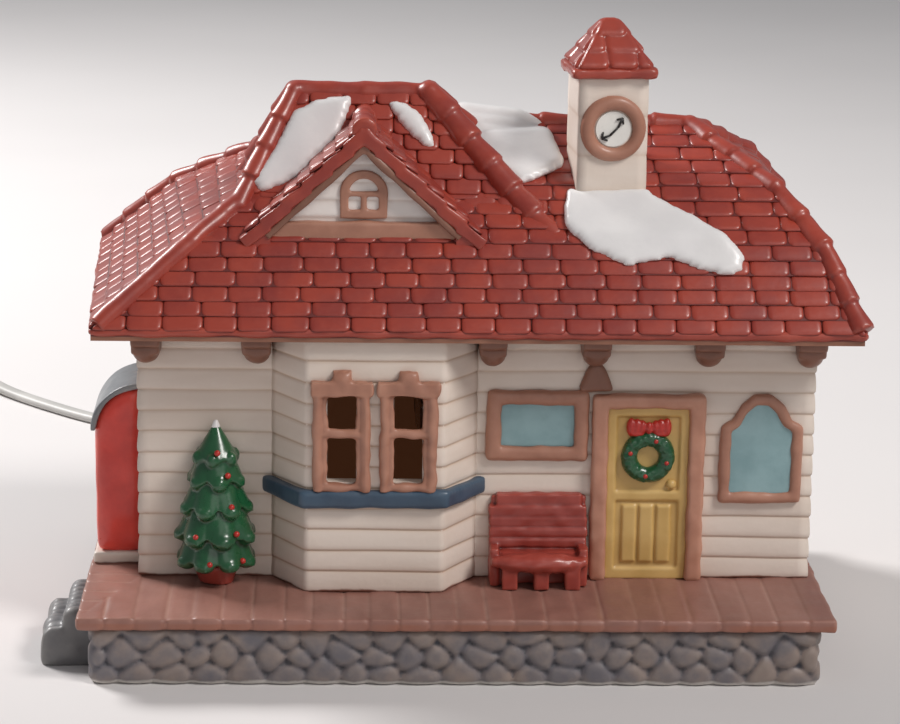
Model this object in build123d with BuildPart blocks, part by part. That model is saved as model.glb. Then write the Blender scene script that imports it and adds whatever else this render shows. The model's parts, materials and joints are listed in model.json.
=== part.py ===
from build123d import *
import math
import os

# A hollow, lit ceramic village house in the form of a small railway station. Millimetres throughout.
# The house faces -Y and stands on z = 0. Places on it are counted along X from the middle of the plinth
# and along Y from the plinth's front face; level, facing and sideways carry them to the model's frame.

# Plinth and boardwalk
base_left_margin = 10.0
base_back_margin = 3.0
wall_overhang = 1.0
base_height = 14.3
base_wall = 7.0
deck_thickness = 3.1
deck_front_reach = 1.5
deck_back_reach = 1.2
deck_left_reach = 3.2
deck_right_reach = 3.8
deck_edge_radius = 1.2

# Walls
wall_depth = 82.0
wall_height = 64.6
wall_thickness = 4.0
yard_depth = 33.0
overrun = 2.0

# Bay in the front wall, with two windows over a sill
bay_tree_gap = 3.8
bay_projection = 13.0
bay_front_width = 33.7
bay_back_width = 51.0
bay_wall = 3.5
bay_curb = 6.0
sill_rise = 22.4
sill_height = 4.0
sill_reach = 2.2
window_spacing = 16.4
window_width = 13.6
window_head_room = 7.4
window_proud = 2.0
window_stile = 3.2
window_top_rail = 3.4
window_bottom_rail = 2.0
window_bar = 2.3
window_bar_share = 0.53
head_lip = 0.6
key_width = 4.8
key_height = 3.0

# Main hip roof: each table runs from the eave up to the ridge
eave_thickness = 2.2
roof_front_reach = 16.0
roof_back_reach = 13.0
roof_left_reach = 10.5
roof_right_reach = 9.5
roof_rise = 43.2
roof_left_run = 54.3
roof_right_run = 38.4
ridge_width = 2.0
roof_drop = 5.0
roof_lap = 1.0
rise_shares = (0.0, 0.45, 0.726, 1.0)
slope_shares = (0.0, 0.24, 0.5, 1.0)
left_front_shares = (0.0, 0.433, 0.726, 1.0)
left_back_shares = (-0.10, 0.285, 0.709, 1.0)
section_courses = (6, 4, 5)
course_foot_stand = 1.05
course_head_stand = 0.35

# Raised cross roof on the left half
upper_x = -24.0
upper_set_back = 41.0
upper_stand = 10.0
upper_ridge_length = 34.0
upper_drop = 33.5
upper_left_run = 17.2
upper_right_run = 31.1
upper_front_run = 23.0

# Cap tiles on hips and ridges
tile_radius = 2.7
tile_start_share = 0.16

# Dormer
dormer_x = -23.4
dormer_set_back = 12.0
dormer_apex_drop = 4.8
dormer_half_span = 28.6
dormer_height = 26.6
dormer_roof_drop = 5.4
dormer_skirt = 6.0
gable_recess = 4.0
gable_lift = 1.9
gable_sill_rise = 3.0
gable_sill_proud = 2.6
dormer_window_width = 11.8
dormer_window_height = 12.1
dormer_window_band = 2.2
dormer_window_bar = 1.3
dormer_window_proud = 1.5
dormer_window_gap = 0.8

# Clock tower, turned a little on the roof as the hand-set original is
tower_x = 37.6
tower_set_back = 24.5
tower_width = 17.1
tower_depth = 17.0
tower_foot_rise = 20.0
tower_top_rise = 59.6
tower_turn = 5.0
cap_width = 20.4
cap_eave = 2.2
cap_height = 11.8
cap_top_width = 5.0
cap_top_depth = 2.6
clock_drop = 12.6
bezel_radius = 6.5
bezel_tube = 2.0
dial_thickness = 0.6
dial_gap = 0.1

# Snow lying on the roofs: shares of roof length and rise, and of the cross roof's ridge and drop
snow_depth = 3.0
slope_snow_shares = (
    (0.617, 0.73), (0.615, 0.56), (0.647, 0.445), (0.694, 0.36), (0.724, 0.39), (0.75, 0.405),
    (0.779, 0.36), (0.822, 0.315), (0.843, 0.34), (0.846, 0.42), (0.822, 0.515), (0.779, 0.605),
    (0.74, 0.675), (0.721, 0.73),
)
saddle_snow_shares = ((0.487, 0.96), (0.60, 0.985), (0.615, 0.84), (0.54, 0.74), (0.505, 0.9))
left_snow_shares = (
    (-0.07, 0.03), (-0.25, 0.06), (-0.40, 0.14), (-0.57, 0.41), (-0.72, 0.61), (-0.70, 0.68),
    (-0.46, 0.56), (-0.16, 0.28),
)
right_snow_shares = (
    (0.19, 0.06), (0.32, 0.08), (0.43, 0.15), (0.52, 0.31), (0.53, 0.37), (0.45, 0.35), (0.28, 0.18),
)

# Brackets under the eave
bracket_width = 7.0
bracket_depth = 7.0
bracket_height = 8.6
bracket_profile_shares = ((0.0, 0.0), (1.0, 0.0), (1.0, 0.42), (0.62, 1.0), (0.0, 1.0))
bracket_bay_gap = 0.1
bracket_left_bay_gap = 0.4
front_bracket_shares = (0.012, 0.673, 0.839, 0.99)
back_bracket_shares = (0.012, 0.182, 0.34, 0.673, 0.839, 0.99)
end_bracket_shares = (0.25, 0.55, 0.85)

# Name board over the bench
sign_bay_gap = 2.8
sign_bench_gap = 8.7
sign_head_room = 15.8
sign_width = 25.0
sign_border = 3.0
sign_proud = 2.0
sign_panel_proud = 0.7

# Door with wreath and lantern
door_sign_gap = 1.6
door_head_room = 16.5
door_width = 21.0
door_jamb = 3.4
door_head = 3.0
door_frame_proud = 3.0
door_proud = 1.0
knob_radius = 1.4
knob_wreath_drop = 7.3
knob_inset = 4.4
wreath_radius = 4.7
wreath_tube = 2.1
wreath_drop = 12.9
bow_width = 11.6
bow_height = 5.0
bow_proud = 1.8
bow_lift = 0.6
bow_shares = (
    (-1.0, 1.0), (-0.2, 0.72), (0.2, 0.72), (1.0, 1.0), (1.0, 0.0), (0.2, 0.3), (-0.2, 0.3), (-1.0, 0.0),
)
lantern_jamb_inset = 0.5
lantern_width = 8.2
lantern_height = 6.6
lantern_lift = 0.4
lantern_proud = 1.8
lantern_shares = (
    (-0.5, 0.0), (0.5, 0.0), (0.36, 0.42), (0.24, 0.8), (0.12, 1.0), (-0.12, 1.0), (-0.24, 0.8),
    (-0.36, 0.42),
)

# Notice board with an arched top
notice_door_gap = 4.5
notice_end_gap = 2.8
notice_rise = 20.5
notice_head_room = 16.4
notice_width = 20.2
notice_border = 2.2
notice_proud = 1.9
notice_panel_proud = 0.7
notice_shares = (
    (1.0, 0.0), (1.0, 0.70), (0.72, 0.76), (0.52, 0.90), (0.2, 1.0), (-0.2, 1.0), (-0.52, 0.90),
    (-0.72, 0.76), (-1.0, 0.70), (-1.0, 0.0),
)

# Bench
bench_sign_shift = 0.6
bench_width = 25.0
bench_seat_depth = 10.5
bench_seat_rise = 8.1
bench_seat_thickness = 3.4
bench_back_rise = 22.6
bench_back_thickness = 3.0
bench_leg_width = 3.4
bench_leg_setback = 1.2

# Tree in its pot, half sunk in the wall
tree_end_gap = 9.1
tree_stand = 4.6
tree_height = 36.0
tier_radii = (10.2, 9.2, 7.9, 6.2, 4.3)
tier_waist_share = 0.58
tip_radius = 0.5
pot_height = 5.2
pot_foot_radius = 4.2
pot_rim_radius = 5.6

# Steps at the left end
step_front = 13.5
step_width = 25.0
step_lower_run = 13.0
step_upper_run = 7.6
step_deck_gap = 0.7
step_riser = 4.6
step_radius = 1.6

# Mailbox on the left wall
mailbox_front = 43.0
mailbox_length = 23.0
mailbox_reach = 11.6
mailbox_head_room = 18.6
mailbox_dome_rise = 11.0
mailbox_foot_height = 3.0
mailbox_foot_lip = 0.9
hood_thickness = 1.6
hood_lip = 1.0

# Light set: a candelabra lamp holder pushed into the hole in the back wall
lamp_rise = 24.6
lamp_hole_diameter = 28.0
seat_gap = 0.3
flange_diameter = 34.0
flange_thickness = 3.0
socket_diameter = 24.0
socket_length = 26.0
shell_bore = 12.2
shell_wall = 0.6
shell_length = 14.0
socket_bore_depth = 18.0
contact_diameter = 6.0
contact_thickness = 1.0
clip_wall = 0.7
clip_width = 8.0
clip_bulge = 1.0
clip_shares = (0.85, 0.32, 0.09)
relief_length = 22.0
relief_diameter = 14.0
relief_end_diameter = 7.0

# Bulb
bulb_base_clearance = 0.15
bulb_base_length = 13.5
bulb_tip_diameter = 4.0
bulb_tip_length = 1.0
bulb_insulator_length = 2.5
bulb_insulator_share = 0.6
glass_diameter = 21.6
glass_neck_diameter = 10.6
glass_length = 38.0
glass_wall = 0.8
glass_widest_share = 0.46
stem_diameter = 4.4
stem_tip_diameter = 2.4
stem_length = 13.0
filament_wire = 0.5
filament_half_span = 4.2
filament_foot_half_span = 0.8
filament_rise = 8.0

# Cord: flat twin lamp cord, taken as a round tube of its width
cord_diameter = 4.8
lead_route = (
    (3.0, 107.0, 37.6), (-9.5, 124.5, 27.0), (-26.0, 137.5, 15.5), (-45.0, 149.0, 6.4), (-66.0, 159.5, 2.7),
    (-87.0, 168.5, 2.4), (-106.0, 180.8, 2.4), (-124.0, 199.0, 2.4), (-139.0, 216.4, 2.6),
)
tail_route = ((-195.0, 161.0, 6.8), (-187.6, 146.0, 5.6))
plug_route = ((-183.0, 51.0, 5.8), (-178.6, 40.5, 6.4))
lead_straight = 15.0
tail_straight = 13.0
plug_straight = 9.0
corner_share = 0.45

# Put-away coil of the rest of the cord: two layers, in along the floor and out on top
coil_x = -188.0
coil_y = 214.0
coil_radius = 39.2
coil_pitch = 5.3
coil_layer = 5.3
coil_spiral_turns = 3.5
coil_climb_turns = 0.5
coil_start_angle = 45.0
coil_lift = 0.8
coil_steps_per_turn = 4
gap_step = 2.0
least_gap = 0.4
tie_wall = 0.5
tie_width = 5.0
tie_clearance = 0.3
tie_angle = 310.0

# Switch on the cord, with a thumb wheel, and plug
switch_x = -184.5
switch_start = 116.0
switch_length = 42.0
switch_width = 17.0
switch_half_height = 6.5
switch_corner = 5.0
wheel_diameter = 21.0
wheel_thickness = 4.2
wheel_clearance = 0.4
pivot_diameter = 3.2
pivot_clearance = 0.3
screw_diameter = 2.6
screw_head_diameter = 4.6
screw_head_height = 1.6
screw_offset = 15.0
screw_depth = 5.0
plug_x = -176.8
plug_start = 22.0
plug_length = 26.0
plug_width = 22.0
plug_half_height = 7.0
plug_corner = 3.0
blade_length = 17.0
blade_width = 6.4
blade_thickness = 1.5
blade_spacing = 12.7

# Places that follow from the sizes above
deck_top = base_height + deck_thickness
eave_z = deck_top + wall_height
eave_top = eave_z + eave_thickness
quarter_turn = 90.0

# The front wall is as long as what stands along it: tree, bay, name board, door and notice board
casing_width = door_width + 2 * door_jamb
tree_start = tree_end_gap
bay_start = tree_start + 2 * tier_radii[0] + bay_tree_gap
sign_start = bay_start + bay_back_width + sign_bay_gap
casing_start = sign_start + sign_width + door_sign_gap
notice_start = casing_start + casing_width + notice_door_gap
wall_length = notice_start + notice_width + notice_end_gap
base_length = wall_length + base_left_margin - wall_overhang
base_depth = yard_depth + wall_depth + base_back_margin
wall_shift = (base_left_margin + wall_overhang) / 2
wall_left = wall_shift - wall_length / 2
tree_x = wall_left + tree_start + tier_radii[0]
bay_x = wall_left + bay_start + bay_back_width / 2
sign_x = wall_left + sign_start + sign_width / 2
bench_x = sign_x + bench_sign_shift
door_x = wall_left + casing_start + casing_width / 2
lantern_x = wall_left + casing_start + lantern_jamb_inset
notice_x = wall_left + notice_start + notice_width / 2

# What stands on the front wall ends below the eave
window_height = wall_height - sill_rise - sill_height - key_height - window_head_room
door_height = wall_height - door_head - door_head_room
sign_rise = bench_back_rise + sign_bench_gap
sign_height = wall_height - sign_rise - sign_head_room
notice_height = wall_height - notice_rise - notice_head_room
mailbox_shoulder_rise = wall_height - mailbox_dome_rise - mailbox_head_room
step_upper_height = base_height - step_deck_gap
step_lower_height = step_upper_height - step_riser

wall_right = wall_shift + wall_length / 2
wall_front = yard_depth
wall_back = yard_depth + wall_depth
roof_left = wall_left - roof_left_reach
roof_right = wall_right + roof_right_reach
roof_front = wall_front - roof_front_reach
roof_back = wall_back + roof_back_reach
roof_length = roof_right - roof_left
roof_middle = (roof_front + roof_back) / 2
ridge_z = eave_top + roof_rise
bay_face = wall_front - bay_projection
lamp_z = deck_top + lamp_rise
cord_radius = cord_diameter / 2

# The model's origin lies on the floor under the middle of the house's own box
left_reach = base_length / 2 + step_lower_run
site_x = (left_reach - roof_right) / 2
site_y = (deck_front_reach - roof_back) / 2


def level(z):
    return Plane(origin=(site_x, site_y, z))


def facing(y):
    return Plane(origin=(site_x, site_y + y, 0), x_dir=(1, 0, 0), z_dir=(0, -1, 0))


def sideways(x):
    return Plane(origin=(site_x + x, site_y, 0), x_dir=(0, 1, 0), z_dir=(1, 0, 0))


def outline(plane, points):
    """A face on a plane with straight edges through the points."""
    with BuildSketch(plane) as face:
        with BuildLine():
            Polyline(*points, close=True)
        make_face()
    return face.sketch


def block(x0, x1, y0, y1):
    """The corners of a rectangle."""
    return ((x0, y0), (x1, y0), (x1, y1), (x0, y1))


# Plinth, open underneath, and boardwalk
with BuildPart() as stone_base:
    extrude(outline(level(0), block(-base_length / 2, base_length / 2, 0, base_depth)), amount=base_height)
    inner_half = base_length / 2 - base_wall
    extrude(
        outline(level(0), block(-inner_half, inner_half, base_wall, base_depth - base_wall)),
        amount=base_height,
        mode=Mode.SUBTRACT,
    )

room = block(
    wall_left + wall_thickness,
    wall_right - wall_thickness,
    wall_front + wall_thickness,
    wall_back - wall_thickness,
)

with BuildPart() as boardwalk:
    deck_left = -base_length / 2 - deck_left_reach
    deck_right = base_length / 2 + deck_right_reach
    deck_plan = block(deck_left, deck_right, -deck_front_reach, base_depth + deck_back_reach)
    extrude(outline(level(base_height), deck_plan), amount=deck_thickness)
    fillet(boardwalk.edges().group_by(Axis.Z)[-1], radius=deck_edge_radius)
    extrude(outline(level(base_height), room), amount=deck_thickness, mode=Mode.SUBTRACT)


# Walls and bay
def bay_outline(grow):
    """The bay's plan, with its three faces moved outwards by grow."""
    side_run = (bay_back_width - bay_front_width) / 2
    shift = grow * math.hypot(side_run, bay_projection) / bay_projection
    front_half = bay_front_width / 2 - side_run * grow / bay_projection + shift
    back_half = bay_back_width / 2 + shift
    return (
        (bay_x - back_half, wall_front),
        (bay_x - front_half, bay_face - grow),
        (bay_x + front_half, bay_face - grow),
        (bay_x + back_half, wall_front),
    )


with BuildPart() as wall_shell:
    wall_plan = block(wall_left, wall_right, wall_front, wall_back)
    extrude(outline(level(deck_top), wall_plan), amount=wall_height)
    extrude(outline(level(deck_top), room), amount=wall_height, mode=Mode.SUBTRACT)
    bay_inside = bay_outline(-bay_wall)
    bay_gap = block(bay_inside[0][0], bay_inside[-1][0], deck_top + bay_curb, eave_z - bay_curb)
    extrude(outline(facing(wall_front), bay_gap), amount=-wall_thickness - overrun, mode=Mode.SUBTRACT)
    with BuildSketch(facing(wall_back)):
        with Locations((wall_shift, lamp_z)):
            Circle(lamp_hole_diameter / 2)
    extrude(amount=wall_thickness + overrun, mode=Mode.SUBTRACT)

window_z = deck_top + sill_rise + sill_height
window_middles = (bay_x - window_spacing / 2, bay_x + window_spacing / 2)
bar_z = window_z + window_height * window_bar_share
opening_half = window_width / 2 - window_stile
light_rows = (
    (window_z + window_bottom_rail, bar_z - window_bar / 2),
    (bar_z + window_bar / 2, window_z + window_height - window_top_rail),
)

with BuildPart() as bay_window:
    extrude(outline(level(deck_top), bay_outline(0)), amount=wall_height)
    extrude(outline(level(deck_top), bay_inside), amount=wall_height, mode=Mode.SUBTRACT)
    for middle in window_middles:
        light = block(middle - opening_half, middle + opening_half, light_rows[0][0], light_rows[1][1])
        extrude(outline(facing(bay_face), light), amount=-bay_wall - overrun, mode=Mode.SUBTRACT)

with BuildPart() as bay_sill:
    sill_plane = level(deck_top + sill_rise)
    extrude(outline(sill_plane, bay_outline(sill_reach)), amount=sill_height)
    extrude(outline(sill_plane, bay_outline(0)), amount=sill_height, mode=Mode.SUBTRACT)


def window_frame(middle):
    """A sash frame with a bar, a wider head and a key block, standing on the sill."""
    half = window_width / 2
    top = window_z + window_height
    face = facing(bay_face)
    with BuildPart() as frame:
        extrude(outline(face, block(middle - half, middle + half, window_z, top)), amount=window_proud)
        for low, high in light_rows:
            hole = block(middle - opening_half, middle + opening_half, low, high)
            extrude(outline(face, hole), amount=window_proud, mode=Mode.SUBTRACT)
        head = block(middle - half - head_lip, middle + half + head_lip, top - window_top_rail, top)
        extrude(outline(face, head), amount=window_proud)
        key = block(middle - key_width / 2, middle + key_width / 2, top, top + key_height)
        extrude(outline(face, key), amount=window_proud)
    return frame


window_frame_left = window_frame(window_middles[0])
window_frame_right = window_frame(window_middles[1])


# Main roof: straight-sided sections from the eave to the ridge, then the same with its courses of tiles
def roof_corner_rings():
    """The roof's corners, front left round to back left, at each height."""
    half = (roof_back - roof_front - ridge_width) / 2
    rings = []
    tables = (rise_shares, slope_shares, left_front_shares, left_back_shares)
    for rise, slope, left_front, left_back in zip(*tables):
        front = roof_front + half * slope
        back = roof_back - half * slope
        right = roof_right - roof_right_run * slope
        corners = (
            (roof_left + roof_left_run * left_front, front),
            (right, front),
            (right, back),
            (roof_left + roof_left_run * left_back, back),
        )
        rings.append((eave_top + roof_rise * rise, corners))
    return rings


def part_way(low, high, share):
    """Corners that lie a share of the way from one ring's to the next one's."""
    return [
        (x0 + (x1 - x0) * share, y0 + (y1 - y0) * share) for (x0, y0), (x1, y1) in zip(low, high)
    ]


def moved_out(corners, push):
    """Corners, front left round to back left, each moved outwards along both axes."""
    signs = block(-1, 1, -1, 1)
    return [(x + sx * push, y + sy * push) for (x, y), (sx, sy) in zip(corners, signs)]


def roof_course_rings(rings):
    """The roof's corners at both ends of each course of tiles, whose lower end stands out more."""
    courses = [rings[0]]
    for (low_z, low), (high_z, high), count in zip(rings, rings[1:], section_courses):
        slope = math.atan2(high_z - low_z, high[0][1] - low[0][1])
        for course in range(count):
            for end, stand in ((course, course_foot_stand), (course + 1, course_head_stand)):
                push = stand * math.sin(slope) if len(courses) > 1 else 0
                foot = low_z + (high_z - low_z) * end / count
                corners = moved_out(part_way(low, high, end / count), push)
                courses.append((foot + stand * math.cos(slope), corners))
    courses[-1] = rings[-1]
    return courses


roof_rings = roof_corner_rings()
eave_corners = roof_rings[0][1]

with BuildPart() as roof_form:
    extrude(outline(level(eave_z), eave_corners), amount=eave_thickness)
    loft([outline(level(z), corners) for z, corners in roof_rings], ruled=True)

with BuildPart() as tiled_roof_form:
    extrude(outline(level(eave_z), eave_corners), amount=eave_thickness)
    loft([outline(level(z), corners) for z, corners in roof_course_rings(roof_rings)], ruled=True)

with BuildPart() as roof_hollow:
    add(roof_form.part.moved(Location((0, 0, -roof_drop))))
    loft_well = block(
        room[0][0] + roof_lap, room[1][0] - roof_lap, room[1][1] + roof_lap, room[2][1] - roof_lap
    )
    extrude(outline(level(eave_z), loft_well), amount=roof_rise, mode=Mode.INTERSECT)

with BuildPart() as roof_shell:
    add(tiled_roof_form.part)
    add(roof_hollow.part, mode=Mode.SUBTRACT)

# Raised cross roof
upper_ridge_y = roof_front + upper_set_back
upper_ridge_z = ridge_z + upper_stand
upper_foot_z = upper_ridge_z - upper_drop
upper_left = upper_x - upper_ridge_length / 2
upper_right = upper_x + upper_ridge_length / 2
upper_foot = block(
    upper_left - upper_left_run,
    upper_right + upper_right_run,
    upper_ridge_y - upper_front_run,
    upper_ridge_y + upper_front_run,
)
upper_top = block(upper_left, upper_right, upper_ridge_y - ridge_width / 2, upper_ridge_y + ridge_width / 2)

with BuildPart() as upper_form:
    loft([outline(level(upper_foot_z), upper_foot), outline(level(upper_ridge_z), upper_top)], ruled=True)

with BuildPart() as upper_roof:
    add(upper_form.part)
    add(tiled_roof_form.part, mode=Mode.SUBTRACT)

# Dormer in the cross roof's front slope
dormer_front = roof_front + dormer_set_back
dormer_length = upper_ridge_y - dormer_front
dormer_apex_z = upper_ridge_z - dormer_apex_drop
dormer_foot_z = dormer_apex_z - dormer_height
inner_span = dormer_half_span * (1 - dormer_roof_drop / dormer_height)
skirt_z = dormer_foot_z - dormer_skirt
gable_face = dormer_front + gable_recess
gable_triangle = (
    (dormer_x - inner_span, skirt_z),
    (dormer_x + inner_span, skirt_z),
    (dormer_x + inner_span, dormer_foot_z),
    (dormer_x, dormer_apex_z - dormer_roof_drop),
    (dormer_x - inner_span, dormer_foot_z),
)

with BuildPart() as dormer_roof:
    chevron = (
        (dormer_x - dormer_half_span, skirt_z),
        (dormer_x + dormer_half_span, skirt_z),
        (dormer_x + dormer_half_span, dormer_foot_z),
        (dormer_x, dormer_apex_z),
        (dormer_x - dormer_half_span, dormer_foot_z),
    )
    extrude(outline(facing(dormer_front), chevron), amount=-dormer_length)
    extrude(outline(facing(dormer_front), gable_triangle), amount=-dormer_length, mode=Mode.SUBTRACT)
    add(tiled_roof_form.part, mode=Mode.SUBTRACT)
    add(upper_form.part, mode=Mode.SUBTRACT)

with BuildPart() as dormer_gable:
    gable_apex_z = dormer_apex_z - dormer_roof_drop
    gable_half = inner_span * (1 - gable_lift / (gable_apex_z - dormer_foot_z))
    gable_outline = (
        (dormer_x - gable_half, dormer_foot_z + gable_lift),
        (dormer_x + gable_half, dormer_foot_z + gable_lift),
        (dormer_x, gable_apex_z),
    )
    extrude(outline(facing(gable_face), gable_outline), amount=gable_recess - dormer_length)
    add(tiled_roof_form.part, mode=Mode.SUBTRACT)
    add(upper_form.part, mode=Mode.SUBTRACT)

with BuildPart() as dormer_sill:
    gable_sill_z = dormer_foot_z + gable_sill_rise
    sill_block = block(dormer_x - inner_span, dormer_x + inner_span, skirt_z, gable_sill_z)
    extrude(outline(facing(gable_face), sill_block), amount=gable_sill_proud)
    add(tiled_roof_form.part, mode=Mode.SUBTRACT)
    add(dormer_roof.part, mode=Mode.SUBTRACT)

with BuildPart() as dormer_window:
    window_foot = gable_sill_z + dormer_window_gap
    arch_z = window_foot + dormer_window_height - dormer_window_width / 2
    with BuildSketch(facing(gable_face)):
        for grow in (0, -dormer_window_band):
            ring_mode = Mode.ADD if grow == 0 else Mode.SUBTRACT
            half = dormer_window_width / 2 + grow
            with BuildLine(mode=Mode.PRIVATE) as arch:
                Line((dormer_x - half, arch_z), (dormer_x - half, window_foot - grow))
                Line((dormer_x - half, window_foot - grow), (dormer_x + half, window_foot - grow))
                Line((dormer_x + half, window_foot - grow), (dormer_x + half, arch_z))
                ThreePointArc(
                    (dormer_x + half, arch_z), (dormer_x, arch_z + half), (dormer_x - half, arch_z)
                )
            make_face(arch.edges(), mode=ring_mode)
        with Locations((dormer_x, arch_z)):
            Rectangle(dormer_window_width - dormer_window_band, dormer_window_bar)
        pane = arch_z - window_foot
        with Locations((dormer_x, window_foot + pane / 2)):
            Rectangle(dormer_window_bar, pane)
    extrude(amount=dormer_window_proud)

# Clock tower
tower_middle_y = roof_front + tower_set_back + tower_depth / 2
tower_across = (math.cos(math.radians(tower_turn)), math.sin(math.radians(tower_turn)), 0)
tower_out = (tower_across[1], -tower_across[0], 0)
tower_foot_z = eave_top + tower_foot_rise
tower_top_z = eave_top + tower_top_rise


def tower_level(z):
    return Plane(origin=(site_x + tower_x, site_y + tower_middle_y, z), x_dir=tower_across, z_dir=(0, 0, 1))


tower_face = Plane(
    origin=(
        site_x + tower_x + tower_out[0] * tower_depth / 2,
        site_y + tower_middle_y + tower_out[1] * tower_depth / 2,
        tower_top_z - clock_drop,
    ),
    x_dir=tower_across,
    z_dir=tower_out,
)

with BuildPart() as clock_tower:
    with BuildSketch(tower_level(tower_foot_z)):
        Rectangle(tower_width, tower_depth)
    extrude(amount=tower_top_z - tower_foot_z)
    add(tiled_roof_form.part, mode=Mode.SUBTRACT)

with BuildPart() as tower_cap:
    with BuildSketch(tower_level(tower_top_z)):
        Rectangle(cap_width, cap_width)
    extrude(amount=cap_eave)
    with BuildSketch(tower_level(tower_top_z + cap_eave)) as cap_foot:
        Rectangle(cap_width, cap_width)
    with BuildSketch(tower_level(tower_top_z + cap_eave + cap_height)) as cap_top:
        Rectangle(cap_top_width, cap_top_depth)
    loft([cap_foot.sketch, cap_top.sketch], ruled=True)

with BuildPart(tower_face) as clock_bezel:
    Torus(bezel_radius, bezel_tube)
    split(bisect_by=tower_face, keep=Keep.TOP)

with BuildPart() as clock_dial:
    with BuildSketch(tower_face):
        Circle(bezel_radius - bezel_tube - dial_gap)
    extrude(amount=dial_thickness)

# Cap tiles: round bars along hips and ridges, cut by the roofs that they lie on
def on_site(x, y, z):
    return Vector(site_x + x, site_y + y, z)


tile_runs = []
for corner in range(len(eave_corners)):
    line = [on_site(*corners[corner], z) for z, corners in roof_rings]
    line[0] = line[0] + (line[1] - line[0]) * tile_start_share
    tile_runs.append(line)
left_end = on_site(roof_rings[-1][1][0][0], roof_middle, ridge_z)
right_end = on_site(roof_rings[-1][1][1][0], roof_middle, ridge_z)
tile_runs.append([left_end, right_end])
for foot, top in zip(upper_foot, upper_top):
    tile_runs.append([on_site(*foot, upper_foot_z), on_site(*top, upper_ridge_z)])
tile_runs.append(
    [on_site(upper_left, upper_ridge_y, upper_ridge_z), on_site(upper_right, upper_ridge_y, upper_ridge_z)]
)
tile_runs.append(
    [on_site(dormer_x, dormer_front, dormer_apex_z), on_site(dormer_x, upper_ridge_y, dormer_apex_z)]
)

with BuildPart() as ridge_tiles:
    for line in tile_runs:
        for start, end in zip(line, line[1:]):
            with BuildSketch(Plane(origin=start, z_dir=end - start)):
                Circle(tile_radius)
            extrude(amount=(end - start).length)
        with Locations(*line[1:]):
            Sphere(tile_radius)
    above_eave = upper_ridge_z + tile_radius - eave_z + overrun
    extrude(outline(level(eave_z), eave_corners), amount=above_eave, mode=Mode.INTERSECT)
    for form in (tiled_roof_form, upper_form, dormer_roof, dormer_gable):
        add(form.part, mode=Mode.SUBTRACT)

# Snow: patches of a skin lifted off each roof
slope_patches = [
    [(roof_left + roof_length * x, eave_top + roof_rise * z) for x, z in shares]
    for shares in (slope_snow_shares, saddle_snow_shares)
]
upper_patches = [
    [(upper_x + upper_ridge_length * x, upper_ridge_z - upper_drop * z) for x, z in shares]
    for shares in (left_snow_shares, right_snow_shares)
]


def snow_on(form, patches, reach):
    """Snow on a roof's front slope, inside outlines seen from the front."""
    with BuildPart() as skin:
        for patch in patches:
            extrude(outline(facing(0), patch), amount=-reach)
        add(form.part.moved(Location((0, 0, snow_depth))), mode=Mode.INTERSECT)
    return skin.part


with BuildPart() as roof_snow:
    add(snow_on(roof_form, slope_patches, roof_middle))
    add(snow_on(upper_form, upper_patches, upper_ridge_y))
    for form in (tiled_roof_form, upper_form, dormer_roof, dormer_gable, ridge_tiles, clock_tower):
        add(form.part, mode=Mode.SUBTRACT)


# Brackets under the eave
def bracket_face(wall, out):
    """A bracket's side outline on a wall at a place, reaching out along +1 or -1."""
    reach = out * bracket_depth
    return [(wall + reach * u, eave_z - bracket_height * v) for u, v in bracket_profile_shares]


with BuildPart() as eave_brackets:
    bay_half = bay_back_width / 2
    front_starts = [wall_left + wall_length * share - bracket_width / 2 for share in front_bracket_shares]
    front_starts.append(bay_x - bay_half - bracket_left_bay_gap - bracket_width)
    front_starts.append(bay_x + bay_half + bracket_bay_gap)
    back_starts = [wall_left + wall_length * share - bracket_width / 2 for share in back_bracket_shares]
    for starts, wall, out in ((front_starts, wall_front, -1), (back_starts, wall_back, 1)):
        for start in starts:
            extrude(outline(sideways(start), bracket_face(wall, out)), amount=bracket_width)
    for wall, out in ((wall_left, -1), (wall_right, 1)):
        for share in end_bracket_shares:
            side = facing(wall_front + wall_depth * share + bracket_width / 2)
            extrude(outline(side, bracket_face(wall, out)), amount=bracket_width)

# Name board, left bare
sign_z = deck_top + sign_rise
sign_box = block(sign_x - sign_width / 2, sign_x + sign_width / 2, sign_z, sign_z + sign_height)
sign_inner = block(
    sign_box[0][0] + sign_border,
    sign_box[1][0] - sign_border,
    sign_z + sign_border,
    sign_box[2][1] - sign_border,
)

with BuildPart() as sign_frame:
    extrude(outline(facing(wall_front), sign_box), amount=sign_proud)
    extrude(outline(facing(wall_front), sign_inner), amount=sign_proud, mode=Mode.SUBTRACT)

with BuildPart() as sign_panel:
    extrude(outline(facing(wall_front), sign_inner), amount=sign_panel_proud)

# Door
door_box = block(door_x - door_width / 2, door_x + door_width / 2, deck_top, deck_top + door_height)
door_face = wall_front - door_proud
wreath_z = deck_top + door_height - wreath_drop

with BuildPart() as door_frame:
    casing_half = casing_width / 2
    casing = block(
        door_x - casing_half, door_x + casing_half, deck_top, deck_top + door_height + door_head
    )
    extrude(outline(facing(wall_front), casing), amount=door_frame_proud)
    extrude(outline(facing(wall_front), door_box), amount=door_frame_proud, mode=Mode.SUBTRACT)

with BuildPart() as door_leaf:
    extrude(outline(facing(wall_front), door_box), amount=door_proud)

with BuildPart() as door_knob:
    knob_z = wreath_z - knob_wreath_drop
    with Locations(on_site(door_x + door_width / 2 - knob_inset, door_face, knob_z)):
        Sphere(knob_radius)
    split(bisect_by=facing(door_face), keep=Keep.TOP)

with BuildPart() as door_wreath:
    wreath_plane = Plane(
        origin=on_site(door_x, door_face, wreath_z), x_dir=(1, 0, 0), z_dir=(0, -1, 0)
    )
    with Locations(wreath_plane.location):
        Torus(wreath_radius, wreath_tube)
    split(bisect_by=wreath_plane, keep=Keep.TOP)

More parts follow.
